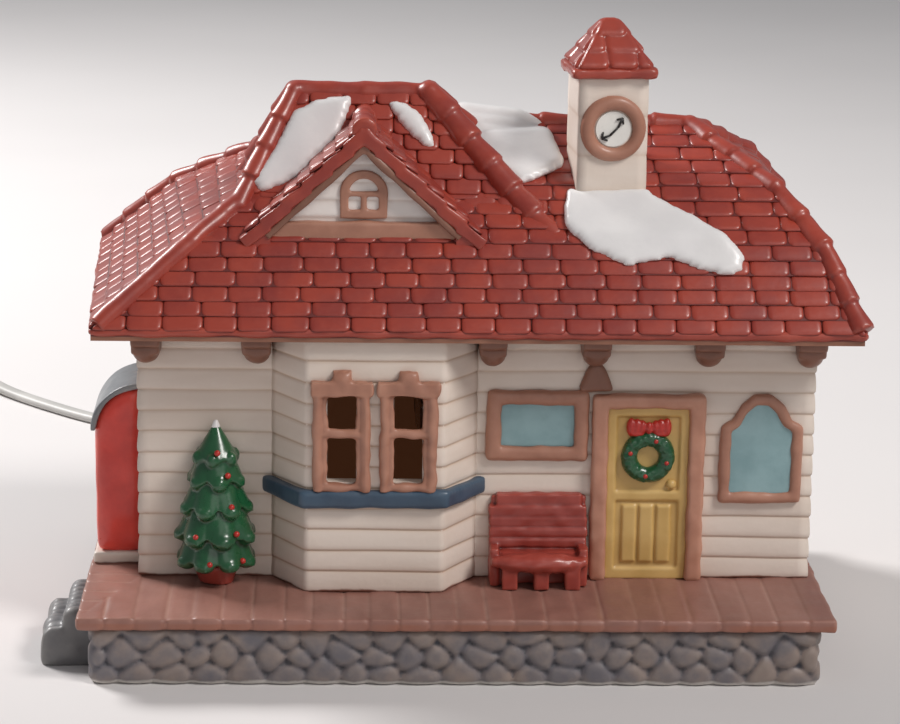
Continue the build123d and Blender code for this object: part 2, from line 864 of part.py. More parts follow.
with BuildPart() as wreath_bow:
    bow_z = wreath_z + wreath_radius + bow_lift
    bow = [(door_x + bow_width / 2 * u, bow_z + bow_height * v) for u, v in bow_shares]
    extrude(outline(facing(door_face), bow), amount=bow_proud)
    add(door_wreath.part, mode=Mode.SUBTRACT)

with BuildPart() as wall_lantern:
    lantern_z = max(sign_z + sign_height, deck_top + door_height + door_head) + lantern_lift
    bell = [(lantern_x + lantern_width * u, lantern_z + lantern_height * v) for u, v in lantern_shares]
    extrude(outline(facing(wall_front), bell), amount=lantern_proud)


# Notice board, left bare
def notice_outline(border):
    half = notice_width / 2 - border
    height = notice_height - 2 * border
    return [(notice_x + half * u, deck_top + notice_rise + border + height * v) for u, v in notice_shares]


with BuildPart() as notice_frame:
    extrude(outline(facing(wall_front), notice_outline(0)), amount=notice_proud)
    panel_gap = outline(facing(wall_front), notice_outline(notice_border))
    extrude(panel_gap, amount=notice_proud, mode=Mode.SUBTRACT)

with BuildPart() as notice_panel:
    extrude(outline(facing(wall_front), notice_outline(notice_border)), amount=notice_panel_proud)

# Bench against the wall
bench_half = bench_width / 2
seat_z = deck_top + bench_seat_rise

with BuildPart() as platform_bench:
    seat_front = wall_front - bench_back_thickness - bench_seat_depth
    back_front = wall_front - bench_back_thickness
    seat_plan = block(bench_x - bench_half, bench_x + bench_half, seat_front, wall_front)
    extrude(outline(level(seat_z), seat_plan), amount=bench_seat_thickness)
    back_plan = block(bench_x - bench_half, bench_x + bench_half, back_front, wall_front)
    extrude(outline(level(seat_z), back_plan), amount=bench_back_rise - bench_seat_rise)
    leg_reach = bench_half - bench_leg_width / 2
    for middle in (bench_x - leg_reach, bench_x, bench_x + leg_reach):
        leg_left = middle - bench_leg_width / 2
        leg_plan = block(leg_left, leg_left + bench_leg_width, seat_front + bench_leg_setback, wall_front)
        extrude(outline(level(deck_top), leg_plan), amount=bench_seat_rise)

# Tree and pot, turned round an upright axis and cut off at the wall
tree_y = wall_front - tree_stand
tree_axis = Axis(on_site(tree_x, tree_y, 0), (0, 0, 1))
tree_side = Plane(origin=on_site(tree_x, tree_y, 0), x_dir=(1, 0, 0), z_dir=(0, -1, 0))
pot_top = deck_top + pot_height
tier_height = tree_height / len(tier_radii)

with BuildPart() as christmas_tree:
    profile = [(0, pot_top)]
    for number, radius in enumerate(tier_radii):
        profile.append((radius, pot_top + tier_height * number))
        profile.append((radius * tier_waist_share, pot_top + tier_height * (number + 1)))
    profile[-1] = (tip_radius, pot_top + tree_height)
    profile.append((0, pot_top + tree_height))
    revolve(outline(tree_side, profile), axis=tree_axis)
    split(bisect_by=facing(wall_front), keep=Keep.TOP)

with BuildPart() as tree_pot:
    pot_profile = ((0, deck_top), (pot_foot_radius, deck_top), (pot_rim_radius, pot_top), (0, pot_top))
    revolve(outline(tree_side, pot_profile), axis=tree_axis)
    split(bisect_by=facing(wall_front), keep=Keep.TOP)

# Steps at the left end
with BuildPart() as side_steps:
    end = -base_length / 2
    profile = (
        (end, 0),
        (end, step_upper_height),
        (end - step_upper_run, step_upper_height),
        (end - step_upper_run, step_lower_height),
        (end - step_lower_run, step_lower_height),
        (end - step_lower_run, 0),
    )
    extrude(outline(facing(step_front + step_width), profile), amount=step_width)
    nosings = side_steps.edges().filter_by(Axis.Y).group_by(Axis.X)
    fillet([nosings[0].sort_by(Axis.Z)[-1], nosings[1].sort_by(Axis.Z)[-1]], radius=step_radius)


# Mailbox on the left wall
def mailbox_side(grow):
    """The mailbox's outline from the front, with its dome moved out by grow."""
    shoulder = deck_top + mailbox_shoulder_rise
    reach = mailbox_reach + grow
    with BuildSketch(facing(mailbox_front + mailbox_length)) as face:
        with BuildLine():
            Polyline(
                (wall_left, shoulder + mailbox_dome_rise + grow),
                (wall_left, deck_top + mailbox_foot_height),
                (wall_left - reach, deck_top + mailbox_foot_height),
                (wall_left - reach, shoulder),
            )
            EllipticalCenterArc(
                (wall_left, shoulder),
                reach,
                mailbox_dome_rise + grow,
                start_angle=quarter_turn,
                arc_size=quarter_turn,
            )
        make_face()
    return face.sketch


with BuildPart() as mailbox_body:
    extrude(mailbox_side(0), amount=mailbox_length)

with BuildPart() as mailbox_hood:
    extrude(mailbox_side(hood_thickness), amount=mailbox_length + hood_lip)
    extrude(mailbox_side(0), amount=mailbox_length + hood_lip, mode=Mode.SUBTRACT)
    split(bisect_by=level(deck_top + mailbox_shoulder_rise), keep=Keep.TOP)

with BuildPart() as mailbox_foot:
    foot_plan = block(
        wall_left - mailbox_reach - mailbox_foot_lip,
        wall_left,
        mailbox_front - mailbox_foot_lip,
        mailbox_front + mailbox_length + mailbox_foot_lip,
    )
    extrude(outline(level(deck_top), foot_plan), amount=mailbox_foot_height)

# Lamp holder: everything lies on one axis through the hole in the back wall, counted along Y
flange_y = wall_back + seat_gap
relief_y = flange_y + flange_thickness
exit_y = relief_y + relief_length
socket_end = flange_y - socket_length
bore_end = socket_end + socket_bore_depth
contact_y = bore_end - contact_thickness
shell_radius = shell_bore / 2 + shell_wall
lamp_axis = Axis(on_site(wall_shift, 0, lamp_z), (0, 1, 0))
lamp_plan = Plane(origin=on_site(wall_shift, 0, lamp_z), x_dir=(1, 0, 0), z_dir=(0, 0, 1))


def turned(points):
    """A solid turned round the lamp's axis, from a profile of radius and place along Y."""
    with BuildPart() as piece:
        revolve(outline(lamp_plan, points), axis=lamp_axis)
    return piece


lamp_socket = turned((
    (shell_radius, socket_end),
    (socket_diameter / 2, socket_end),
    (socket_diameter / 2, flange_y),
    (flange_diameter / 2, flange_y),
    (flange_diameter / 2, relief_y),
    (0, relief_y),
    (0, bore_end),
    (shell_radius, bore_end),
))
socket_shell = turned(block(shell_bore / 2, shell_radius, socket_end, socket_end + shell_length))
socket_contact = turned(block(0, contact_diameter / 2, contact_y, bore_end))
cord_relief = turned((
    (0, relief_y),
    (relief_diameter / 2, relief_y),
    (relief_end_diameter / 2, exit_y),
    (0, exit_y),
))

with BuildPart() as spring_clips:
    near = socket_diameter / 2
    anchor, crest, tail = (flange_y - socket_length * share for share in clip_shares)
    leaf = (
        (near, anchor),
        (near + clip_wall, anchor),
        (near + clip_wall + clip_bulge, crest),
        (near + clip_wall, tail),
        (near, tail),
        (near + clip_bulge, crest),
    )
    clip_plan = lamp_plan.offset(-clip_width / 2)
    for hand in (-1, 1):
        extrude(outline(clip_plan, [(hand * x, y) for x, y in leaf]), amount=clip_width)

# Bulb, screwed into the holder
base_radius = shell_bore / 2 - bulb_base_clearance
insulator_y = contact_y - bulb_tip_length
thread_end = insulator_y - bulb_insulator_length
glass_y = thread_end - bulb_base_length
bulb_base = turned((
    (0, contact_y),
    (bulb_tip_diameter / 2, contact_y),
    (bulb_tip_diameter / 2, insulator_y),
    (base_radius * bulb_insulator_share, insulator_y),
    (base_radius, thread_end),
    (base_radius, glass_y),
    (0, glass_y),
))


def glass_outline(inset):
    """Half of the bulb's flame-shaped outline, drawn in by inset."""
    widest = glass_y - glass_length * glass_widest_share
    tip = glass_y - glass_length + inset
    neck = glass_neck_diameter / 2 - inset
    with BuildSketch(lamp_plan) as face:
        with BuildLine():
            Line((0, glass_y - inset), (neck, glass_y - inset))
            Spline(
                (neck, glass_y - inset),
                (glass_diameter / 2 - inset, widest),
                (0, tip),
                tangents=((0, -1), (-1, -1)),
            )
            Line((0, tip), (0, glass_y - inset))
        make_face()
    return face.sketch


with BuildPart() as bulb_glass:
    revolve(glass_outline(0), axis=lamp_axis)
    revolve(glass_outline(glass_wall), axis=lamp_axis, mode=Mode.SUBTRACT)

stem_y = glass_y - glass_wall
stem_end = stem_y - stem_length
bulb_stem = turned((
    (0, stem_y),
    (stem_diameter / 2, stem_y),
    (stem_tip_diameter / 2, stem_end),
    (0, stem_end),
))

with BuildPart() as bulb_filament:
    with BuildLine(lamp_plan) as wire:
        Polyline(
            (-filament_foot_half_span, stem_end),
            (-filament_half_span, stem_end - filament_rise),
            (filament_half_span, stem_end - filament_rise),
            (filament_foot_half_span, stem_end),
        )
    with BuildSketch(Plane(origin=wire.line @ 0, z_dir=wire.line % 0)):
        Circle(filament_wire / 2)
    sweep(path=wire.line, transition=Transition.RIGHT)
    split(bisect_by=Plane(origin=on_site(wall_shift, stem_end, lamp_z), z_dir=(0, -1, 0)), keep=Keep.TOP)

# Cord, in four stretches that meet end to end
heading = Vector(1, 0, 0).rotate(Axis.Z, coil_start_angle + quarter_turn)
coil_turns = 2 * coil_spiral_turns + coil_climb_turns


def coil_place(turn):
    """The middle of the coiled cord after so many turns: in on the lower layer, up, out on the upper."""
    climbed = min(max((turn - coil_spiral_turns) / coil_climb_turns, 0), 1)
    inmost_turn = coil_turns / 2
    radius = coil_radius - coil_pitch * (inmost_turn - abs(turn - inmost_turn))
    angle = math.radians(coil_start_angle) + math.tau * turn
    ease = climbed * climbed * (3 - 2 * climbed)
    height = coil_lift + cord_radius + coil_layer * ease
    return Vector(coil_x + radius * math.cos(angle), coil_y + radius * math.sin(angle), height)


def coil_heading(turn, small_share=1e-4):
    return (coil_place(turn + small_share) - coil_place(turn - small_share)).normalized()


def joint_of_biarc(start, start_way, end, end_way):
    """Where, and along which way, two arcs meet that leave start and reach end along the given ways."""
    span = end - start
    along = span.dot(start_way + end_way)
    bend = 1 - start_way.dot(end_way)
    reach = (math.sqrt(along * along + 2 * bend * span.dot(span)) - along) / (2 * bend)
    first_corner = start + start_way * reach
    second_corner = end - end_way * reach
    return (first_corner + second_corner) / 2, (second_corner - first_corner).normalized()


coil_stops = [step / coil_steps_per_turn for step in range(round(coil_turns * coil_steps_per_turn) + 1)]
coil_start = coil_place(0) - heading * cord_diameter
coil_end_heading = heading.rotate(Axis.Z, 4 * quarter_turn * coil_turns)
coil_end = coil_place(coil_turns) + coil_end_heading * cord_diameter

with BuildPart() as cord_coil:
    with BuildLine() as coil_path:
        Line(coil_start, coil_place(0))
        for now, then in zip(coil_stops, coil_stops[1:]):
            way_in = heading if now == 0 else coil_heading(now)
            way_out = coil_end_heading if then == coil_turns else coil_heading(then)
            middle, way = joint_of_biarc(coil_place(now), way_in, coil_place(then), way_out)
            TangentArc(coil_place(now), middle, tangent=way_in)
            TangentArc(middle, coil_place(then), tangent=way)
        Line(coil_place(coil_turns), coil_end)
    with BuildSketch(Plane(origin=coil_start, z_dir=heading)):
        Circle(cord_radius)
    sweep(path=coil_path.wires()[0])


def route_radii(points):
    """The largest arc that each corner of a route leaves room for."""
    radii = []
    for before, at, after in zip(points, points[1:], points[2:]):
        turn = math.radians((at - before).get_angle(after - at))
        shorter = min((at - before).length, (after - at).length)
        radii.append(corner_share * shorter / math.tan(turn / 2))
    return radii


def cord_stretch(points):
    """A tube along a route of straight runs and tangent arcs, with its path."""
    with BuildPart() as tube:
        with BuildLine() as path:
            FilletPolyline(*points, radius=route_radii(points))
        with BuildSketch(Plane(origin=points[0], z_dir=points[1] - points[0])):
            Circle(cord_radius)
        sweep(path=path.wires()[0])
    return tube, path.wires()[0].length


exit_point = on_site(wall_shift, exit_y, lamp_z)
switch_end = switch_start - switch_length
switch_inlet = Vector(switch_x, switch_start, switch_half_height)
switch_outlet = Vector(switch_x, switch_end, switch_half_height)
plug_inlet = Vector(plug_x, plug_start, plug_half_height)
back = Vector(0, 1, 0)
lead_points = [
    exit_point,
    exit_point + back * lead_straight,
    *(Vector(*p) for p in lead_route),
    coil_start - heading * lead_straight,
    coil_start,
]
tail_points = [
    coil_end,
    coil_end + coil_end_heading * tail_straight,
    *(Vector(*p) for p in tail_route),
    switch_inlet + back * tail_straight,
    switch_inlet,
]
plug_points = [
    switch_outlet,
    switch_outlet - back * plug_straight,
    *(Vector(*p) for p in plug_route),
    plug_inlet + back * plug_straight,
    plug_inlet,
]
cord_lead, lead_length = cord_stretch(lead_points)
cord_tail, tail_length = cord_stretch(tail_points)
cord_plug_end, plug_cord_length = cord_stretch(plug_points)

# Tie round one side of the coil
with BuildPart() as coil_tie:
    tie_way = Vector(1, 0, 0).rotate(Axis.Z, tie_angle)
    tie_side = tie_way.rotate(Axis.Z, quarter_turn)
    tie_inner = coil_radius - coil_pitch * coil_turns / 2 - cord_radius - tie_clearance
    tie_outer = coil_radius + cord_radius + tie_clearance
    tie_high = coil_lift + coil_layer + cord_diameter + tie_clearance
    tie_low = coil_lift - tie_clearance
    tie_face = Plane(
        origin=Vector(coil_x, coil_y, 0) - tie_side * (tie_width / 2),
        x_dir=tie_way,
        z_dir=tie_side,
    )
    with BuildSketch(tie_face):
        for grow, ring_mode in ((tie_wall, Mode.ADD), (0, Mode.SUBTRACT)):
            wide = tie_outer - tie_inner + 2 * grow
            tall = tie_high - tie_low + 2 * grow
            with Locations(((tie_inner + tie_outer) / 2, -(tie_low + tie_high) / 2)):
                Rectangle(wide, tall, mode=ring_mode)
    extrude(amount=tie_width)

# Switch on the cord: two housing halves on a thumb wheel
switch_y = switch_start - switch_length / 2
wheel_half = wheel_thickness / 2 + wheel_clearance


def switch_half(top):
    """One half of the switch housing, hollowed for the wheel; the lower one has the wheel's pivot."""
    low, high = (switch_half_height, 2 * switch_half_height) if top else (0, switch_half_height)
    pocket = switch_half_height if top else switch_half_height - wheel_half
    with BuildPart() as half:
        with BuildSketch(Plane(origin=(switch_x, switch_y, low))):
            RectangleRounded(switch_width, switch_length, switch_corner)
        extrude(amount=high - low)
        with BuildSketch(Plane(origin=(switch_x, switch_y, pocket))):
            Circle(wheel_diameter / 2 + wheel_clearance)
            if not top:
                Circle(pivot_diameter / 2, mode=Mode.SUBTRACT)
        extrude(amount=wheel_half, mode=Mode.SUBTRACT)
        if top:
            with BuildSketch(Plane(origin=(switch_x, switch_y, low))):
                Circle(pivot_diameter / 2)
            extrude(amount=wheel_half)
        with BuildSketch(Plane(origin=(switch_x, switch_y + screw_offset, 2 * switch_half_height))):
            Circle(screw_diameter / 2)
        extrude(amount=-switch_half_height - screw_depth, mode=Mode.SUBTRACT)
        with BuildSketch(Plane(origin=(switch_x, switch_y + screw_offset, 2 * switch_half_height))):
            Circle(screw_head_diameter / 2)
        extrude(amount=-screw_head_height, mode=Mode.SUBTRACT)
    return half


switch_lower = switch_half(False)
switch_upper = switch_half(True)

with BuildPart() as switch_screw:
    with BuildSketch(Plane(origin=(switch_x, switch_y + screw_offset, 2 * switch_half_height))):
        Circle(screw_head_diameter / 2)
    extrude(amount=-screw_head_height)
    with BuildSketch(Plane(origin=(switch_x, switch_y + screw_offset, 2 * switch_half_height))):
        Circle(screw_diameter / 2)
    extrude(amount=-switch_half_height - screw_depth)

with BuildPart() as switch_wheel:
    with BuildSketch(Plane(origin=(switch_x, switch_y, switch_half_height - wheel_thickness / 2))):
        Circle(wheel_diameter / 2)
        Circle(pivot_diameter / 2 + pivot_clearance, mode=Mode.SUBTRACT)
    extrude(amount=wheel_thickness)

# Plug
plug_end = plug_start - plug_length

with BuildPart() as plug_body:
    plug_back = Plane(origin=(plug_x, plug_start, plug_half_height), x_dir=(1, 0, 0), z_dir=(0, -1, 0))
    with BuildSketch(plug_back):
        RectangleRounded(plug_width, 2 * plug_half_height, plug_corner)
    extrude(amount=plug_length)

with BuildPart() as plug_blades:
    for hand in (-1, 1):
        middle = (plug_x + hand * blade_spacing / 2, plug_end, plug_half_height)
        with BuildSketch(Plane(origin=middle, x_dir=(1, 0, 0), z_dir=(0, -1, 0))):
            Rectangle(blade_thickness, blade_width)
        extrude(amount=blade_length)

pieces = {
    "stone_base": stone_base,
    "boardwalk": boardwalk,
    "wall_shell": wall_shell,
    "bay_window": bay_window,
    "bay_sill": bay_sill,
    "window_frame_left": window_frame_left,
    "window_frame_right": window_frame_right,
    "roof_shell": roof_shell,
    "upper_roof": upper_roof,
    "ridge_tiles": ridge_tiles,
    "dormer_roof": dormer_roof,
    "dormer_gable": dormer_gable,
    "dormer_window": dormer_window,
    "dormer_sill": dormer_sill,
    "clock_tower": clock_tower,
    "tower_cap": tower_cap,
    "clock_bezel": clock_bezel,
    "clock_dial": clock_dial,
    "roof_snow": roof_snow,
    "eave_brackets": eave_brackets,
    "sign_frame": sign_frame,
    "sign_panel": sign_panel,
    "door_frame": door_frame,
    "door_leaf": door_leaf,
    "door_knob": door_knob,
    "door_wreath": door_wreath,
    "wreath_bow": wreath_bow,
    "wall_lantern": wall_lantern,
    "notice_frame": notice_frame,
    "notice_panel": notice_panel,
    "platform_bench": platform_bench,
    "christmas_tree": christmas_tree,
    "tree_pot": tree_pot,
    "side_steps": side_steps,
    "mailbox_body": mailbox_body,
    "mailbox_hood": mailbox_hood,
    "mailbox_foot": mailbox_foot,
    "lamp_socket": lamp_socket,
    "socket_shell": socket_shell,
    "socket_contact": socket_contact,
    "spring_clips": spring_clips,
    "cord_relief": cord_relief,
    "bulb_base": bulb_base,
    "bulb_glass": bulb_glass,
    "bulb_stem": bulb_stem,
    "bulb_filament": bulb_filament,
    "cord_lead": cord_lead,
    "cord_coil": cord_coil,
    "cord_tail": cord_tail,
    "cord_plug_end": cord_plug_end,
    "coil_tie": coil_tie,
    "switch_lower": switch_lower,
    "switch_upper": switch_upper,
    "switch_screw": switch_screw,
    "switch_wheel": switch_wheel,
    "plug_body": plug_body,
    "plug_blades": plug_blades,
}

os.makedirs("parts", exist_ok=True)
for label, piece in pieces.items():
    piece.part.label = label
    export_step(piece.part, f"parts/{label}.step")

# Facts about the cord: radii of its bends, lengths, and the coil's least gap to itself
section = math.pi * cord_radius**2
coil_wire = coil_path.wires()[0]
for label, points in (("lead", lead_points), ("tail", tail_points), ("plug end", plug_points)):
    print(label, "radii", [round(radius, 1) for radius in route_radii(points)])
stretches = (
    ("lead", cord_lead, lead_length),
    ("coil", cord_coil, coil_wire.length),
    ("tail", cord_tail, tail_length),
    ("plug end", cord_plug_end, plug_cord_length),
)
for label, tube, length in stretches:
    fullness = tube.part.volume / section / length
    print(label, "length", round(length, 1), "volume over section times length", fullness)
print("cord in all", round(sum(length for label, tube, length in stretches), 1))
samples = [coil_wire @ (i * gap_step / coil_wire.length) for i in range(int(coil_wire.length / gap_step))]
skip = round(2 * cord_diameter / gap_step)
nearest = min(
    (samples[j] - samples[i]).length for i in range(len(samples)) for j in range(i + skip, len(samples))
)
print("coil's least gap to itself", round(nearest - cord_diameter, 2), "over", least_gap)
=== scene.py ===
import json
import math
import random

import bmesh
import bpy
from mathutils import Matrix, Vector, noise


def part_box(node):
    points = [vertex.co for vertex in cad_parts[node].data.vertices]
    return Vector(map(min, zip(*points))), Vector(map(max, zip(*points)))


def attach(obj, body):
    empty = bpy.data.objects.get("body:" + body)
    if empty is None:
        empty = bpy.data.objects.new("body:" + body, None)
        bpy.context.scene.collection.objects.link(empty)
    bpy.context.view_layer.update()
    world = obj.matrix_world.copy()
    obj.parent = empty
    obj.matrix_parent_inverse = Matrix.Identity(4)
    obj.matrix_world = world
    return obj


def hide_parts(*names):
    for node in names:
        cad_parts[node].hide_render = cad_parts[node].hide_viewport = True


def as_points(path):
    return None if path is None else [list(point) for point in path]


# A hand-painted ceramic station house with its light set. Shapes are worked out in millimetres in the
# part's own frame, and a mesh is scaled to metres when it becomes a piece.

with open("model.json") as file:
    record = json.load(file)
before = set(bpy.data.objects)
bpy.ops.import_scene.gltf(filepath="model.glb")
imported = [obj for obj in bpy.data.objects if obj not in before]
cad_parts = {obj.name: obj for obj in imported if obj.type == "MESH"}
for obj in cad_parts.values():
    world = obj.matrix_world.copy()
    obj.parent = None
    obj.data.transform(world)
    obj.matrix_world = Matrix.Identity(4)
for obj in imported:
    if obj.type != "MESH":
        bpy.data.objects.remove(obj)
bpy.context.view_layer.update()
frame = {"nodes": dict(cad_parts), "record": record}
nodes = frame["nodes"]
MM = 0.001
UP = Vector((0, 0, 1))
ACROSS = Vector((1, 0, 0))
BACK = Vector((0, 1, 0))
vary = random.Random(11).uniform


# Shader maths

class Wire:
    """One output socket of a material's nodes; arithmetic on wires adds Math nodes beside it."""

    def __init__(self, tree, socket=None):
        self.tree = tree
        self.socket = socket

    def node(self, kind, inputs=None, settings=None, output=0):
        """Adds a node of a kind, sets it up, feeds its sockets by name or number, and gives one output."""
        made = self.tree.nodes.new(kind)
        for name, value in (settings or {}).items():
            setattr(made, name, value)
        for name, value in (inputs or {}).items():
            if isinstance(value, Wire):
                self.tree.links.new(value.socket, made.inputs[name])
            else:
                made.inputs[name].default_value = value
        return Wire(self.tree, made.outputs[output])

    def math(self, operation, *values, clamp=False):
        inputs = dict(enumerate(values))
        return self.node("ShaderNodeMath", inputs, {"operation": operation, "use_clamp": clamp})

    def __add__(self, other):
        return self.math("ADD", self, other)

    def __sub__(self, other):
        return self.math("SUBTRACT", self, other)

    def __rsub__(self, other):
        return self.math("SUBTRACT", other, self)

    def __mul__(self, other):
        return self.math("MULTIPLY", self, other)

    def clamped(self):
        return self.math("ADD", self, 0.0, clamp=True)

    def between(self, low, high):
        """0 below low, 1 above high and a smooth step from one to the other."""
        inputs = {0: self, 1: low, 2: high, 3: 0.0, 4: 1.0}
        return self.node("ShaderNodeMapRange", inputs, {"interpolation_type": "SMOOTHSTEP"})

    def mixed(self, first, second):
        """The first colour where this is 0 and the second where it is 1."""
        inputs = {0: self, 6: first, 7: second}
        return self.node("ShaderNodeMix", inputs, {"data_type": "RGBA"}, output=2)


def rgb(red, green, blue):
    """A linear colour from one as it shows on a screen, out of 255."""
    def linear(c):
        c /= 255
        return c / 12.92 if c <= 0.04045 else ((c + 0.055) / 1.055) ** 2.4
    return (linear(red), linear(green), linear(blue), 1.0)


class Finish:
    """A material with its object coordinates at hand, and the shader that its wires feed."""

    def __init__(self, name, roughness, coat=0.0, coat_roughness=0.1, metallic=0.0, **constants):
        self.material = bpy.data.materials.new(name)
        self.material.use_nodes = True
        self.tree = self.material.node_tree
        self.shader = self.tree.nodes["Principled BSDF"]
        self.start = Wire(self.tree)
        self.place = self.start.node("ShaderNodeTexCoord", output="Object")
        settings = {
            "Roughness": roughness, "Metallic": metallic,
            "Coat Weight": coat, "Coat Roughness": coat_roughness,
        }
        for socket, value in {**settings, **constants}.items():
            self.shader.inputs[socket].default_value = value

    def grain(self, scale, detail=3.0, roughness=0.55, stretch=(1, 1, 1)):
        """Cloudy noise from 0 to 1, with its grain in counts per metre."""
        place = self.place
        if stretch != (1, 1, 1):
            place = place.node("ShaderNodeMapping", {"Vector": place, "Scale": stretch})
        inputs = {"Vector": place, "Scale": scale, "Detail": detail, "Roughness": roughness}
        return place.node("ShaderNodeTexNoise", inputs)

    def axis(self, name):
        """One coordinate, in metres."""
        return self.place.node("ShaderNodeSeparateXYZ", {0: self.place}, output=name)

    def height(self):
        """Height above the floor, in millimetres."""
        return self.axis("Z") * (1 / MM)

    def attribute(self, name):
        return self.start.node("ShaderNodeAttribute", settings={"attribute_name": name}, output="Fac")

    def feed(self, socket, wire):
        self.tree.links.new(wire.socket, self.shader.inputs[socket])

    def bump(self, wire, strength, distance):
        inputs = {"Height": wire, "Strength": strength, "Distance": distance * MM}
        self.feed("Normal", wire.node("ShaderNodeBump", inputs))


def painted(name, colours, roughness=0.42, coat=0.15, streak=(1, 1, 1), dry_share=0.35, wash_share=0.85,
            extra=None, glow=None):
    """Brushed paint on cast ceramic: two mixed tones, a wash left in hollows, pale worn high spots."""
    colour, second, wash, dry = (rgb(*tone) for tone in colours)
    lit = {"Emission Color": glow, "Emission Strength": 1.0} if glow else {}
    finish = Finish(name, roughness, coat, coat_roughness=0.18, **lit)
    mottle = finish.grain(scale=95.0, detail=4.0, stretch=streak).between(0.32, 0.68)
    fine = finish.grain(scale=620.0)
    lumps = finish.grain(scale=230.0, detail=2.0)
    # On the roof tiles the wash value also carries painted shade in the joints between tiles.
    hollow = finish.attribute("wash")
    tone = finish.attribute("tone")
    paint = (mottle * 0.75 + tone * 0.5).clamped().mixed(colour, second)
    worn = ((0.0 - hollow) * dry_share + (fine - 0.62) * 0.25).clamped()
    paint = worn.mixed(paint, dry)
    paint = (hollow * wash_share).clamped().mixed(paint, wash)
    if extra:
        paint = extra(finish, paint)
    finish.feed("Base Color", paint)
    finish.feed("Roughness", fine * 0.16 + mottle * 0.08 + (roughness - 0.12))
    finish.bump(fine * 0.5 + lumps * 1.2, strength=0.35, distance=0.16)
    return finish.material


def brown_foot(finish, paint):
    """Deck paint strays up the foot of the walls."""
    stray = (finish.height() - finish.grain(120.0) * 2.2).between(deck_top - 0.9, deck_top - 0.3)
    return stray.mixed(rgb(140, 96, 80), paint)


def pale_foot(finish, paint):
    """Bare pale body along the lower edge, where the paint stops short."""
    edge = (finish.height() + finish.grain(160.0) * 1.6).between(1.5, 2.3)
    return edge.mixed(rgb(196, 190, 184), paint)


def red_above(finish, paint):
    """The eave's edge stays brown and the slopes above it are dark red between their tiles: joint colour
    that also stands in for painted shade in the joints.
    """
    return finish.height().between(eave_top - 1.2, eave_top - 1.0).mixed(paint, rgb(104, 40, 36))


def orange_lip(finish, paint):
    """Thin paint lets a warmer tone through along the deck's lip."""
    lip = (deck_top - finish.height()).between(0.9, 1.6) * finish.grain(60.0).between(0.3, 0.6) * 0.6
    return lip.mixed(paint, rgb(150, 90, 66))


# Sizes that the pieces share, read from the frame

def box_of(node):
    """A node's lowest and highest corners."""
    low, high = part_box(node)
    return low / MM, high / MM


def at(x, y, z):
    return Vector((x, y, z))


base_low, base_high = box_of("stone_base")
deck_low, deck_high = box_of("boardwalk")
wall_low, wall_high = box_of("wall_shell")
roof_low, roof_high = box_of("roof_shell")
bay_low, bay_high = box_of("bay_window")
dormer_low, dormer_high = box_of("dormer_roof")
gable_low, gable_high = box_of("dormer_gable")
tower_low, tower_high = box_of("clock_tower")
cap_low, cap_high = box_of("tower_cap")
upper_ridge = box_of("upper_roof")[1].z
deck_top = deck_high.z
eave_thickness = 2.2
eave_top = roof_low.z + eave_thickness

# Paints, each with two tones, the wash in its hollows and its worn high spots

paint_colours = {
    "stone_gray": ((138, 123, 115), (88, 90, 101), (52, 53, 62), (164, 152, 142)),
    "step_gray": ((116, 114, 114), (96, 96, 100), (52, 52, 56), (170, 166, 160)),
    "deck_brown": ((154, 109, 97), (132, 90, 79), (192, 158, 142), (176, 130, 112)),
    "siding_cream": ((232, 219, 207), (220, 204, 190), (182, 148, 118), (242, 235, 225)),
    "sill_blue": ((62, 84, 104), (52, 70, 90), (38, 48, 60), (92, 114, 132)),
    "frame_brown": ((178, 127, 105), (158, 108, 88), (104, 66, 52), (200, 154, 132)),
    # A lighter copy of the siding cream for the dormer's gable: painted light reflected from the snow.
    "snowlit_gable_cream": ((240, 233, 228), (230, 221, 214), (176, 146, 124), (244, 240, 235)),
    # A lighter copy of the frame brown for the door frame: painted light from its lit face.
    "lit_jamb_brown": ((196, 142, 118), (174, 120, 98), (108, 68, 54), (212, 166, 144)),
    # A darker copy of the frame brown: painted shade for the corbels under the eave. The dormer's
    # bargeboards and the wall lantern wear it as a plain darker brown.
    "dark_and_shaded_brown": ((138, 94, 76), (118, 78, 62), (80, 50, 40), (160, 116, 96)),
    "roof_red": ((164, 64, 48), (138, 48, 40), (78, 30, 30), (190, 98, 78)),
    "roof_fascia": ((150, 102, 80), (130, 84, 64), (96, 58, 44), (178, 132, 108)),
    "roof_dark": ((104, 40, 36), (92, 34, 32), (70, 28, 28), (120, 50, 44)),
    "glowing_bare_brown": ((176, 132, 100), (160, 116, 86), (110, 76, 56), (190, 146, 114)),
    "snow_white": ((233, 231, 230), (225, 223, 223), (202, 202, 204), (242, 241, 240)),
    "panel_blue": ((150, 183, 187), (124, 158, 163), (96, 118, 120), (160, 188, 190)),
    "door_ochre": ((214, 178, 110), (200, 162, 92), (140, 98, 48), (232, 204, 146)),
    "tree_green": ((28, 86, 50), (22, 70, 42), (10, 38, 24), (54, 112, 74)),
    "bright_red": ((194, 48, 38), (172, 38, 32), (104, 22, 20), (204, 84, 70)),
    "box_red": ((230, 68, 54), (198, 46, 38), (110, 24, 20), (232, 116, 102)),
    "bench_red": ((164, 68, 56), (144, 54, 46), (74, 26, 24), (186, 98, 82)),
    "hood_gray": ((132, 135, 138), (112, 115, 119), (62, 58, 58), (176, 178, 180)),
    "dial_white": ((238, 236, 230), (228, 226, 220), (190, 180, 168), (246, 245, 240)),
    "ink": ((32, 30, 30), (44, 40, 38), (20, 20, 20), (60, 56, 54)),
}
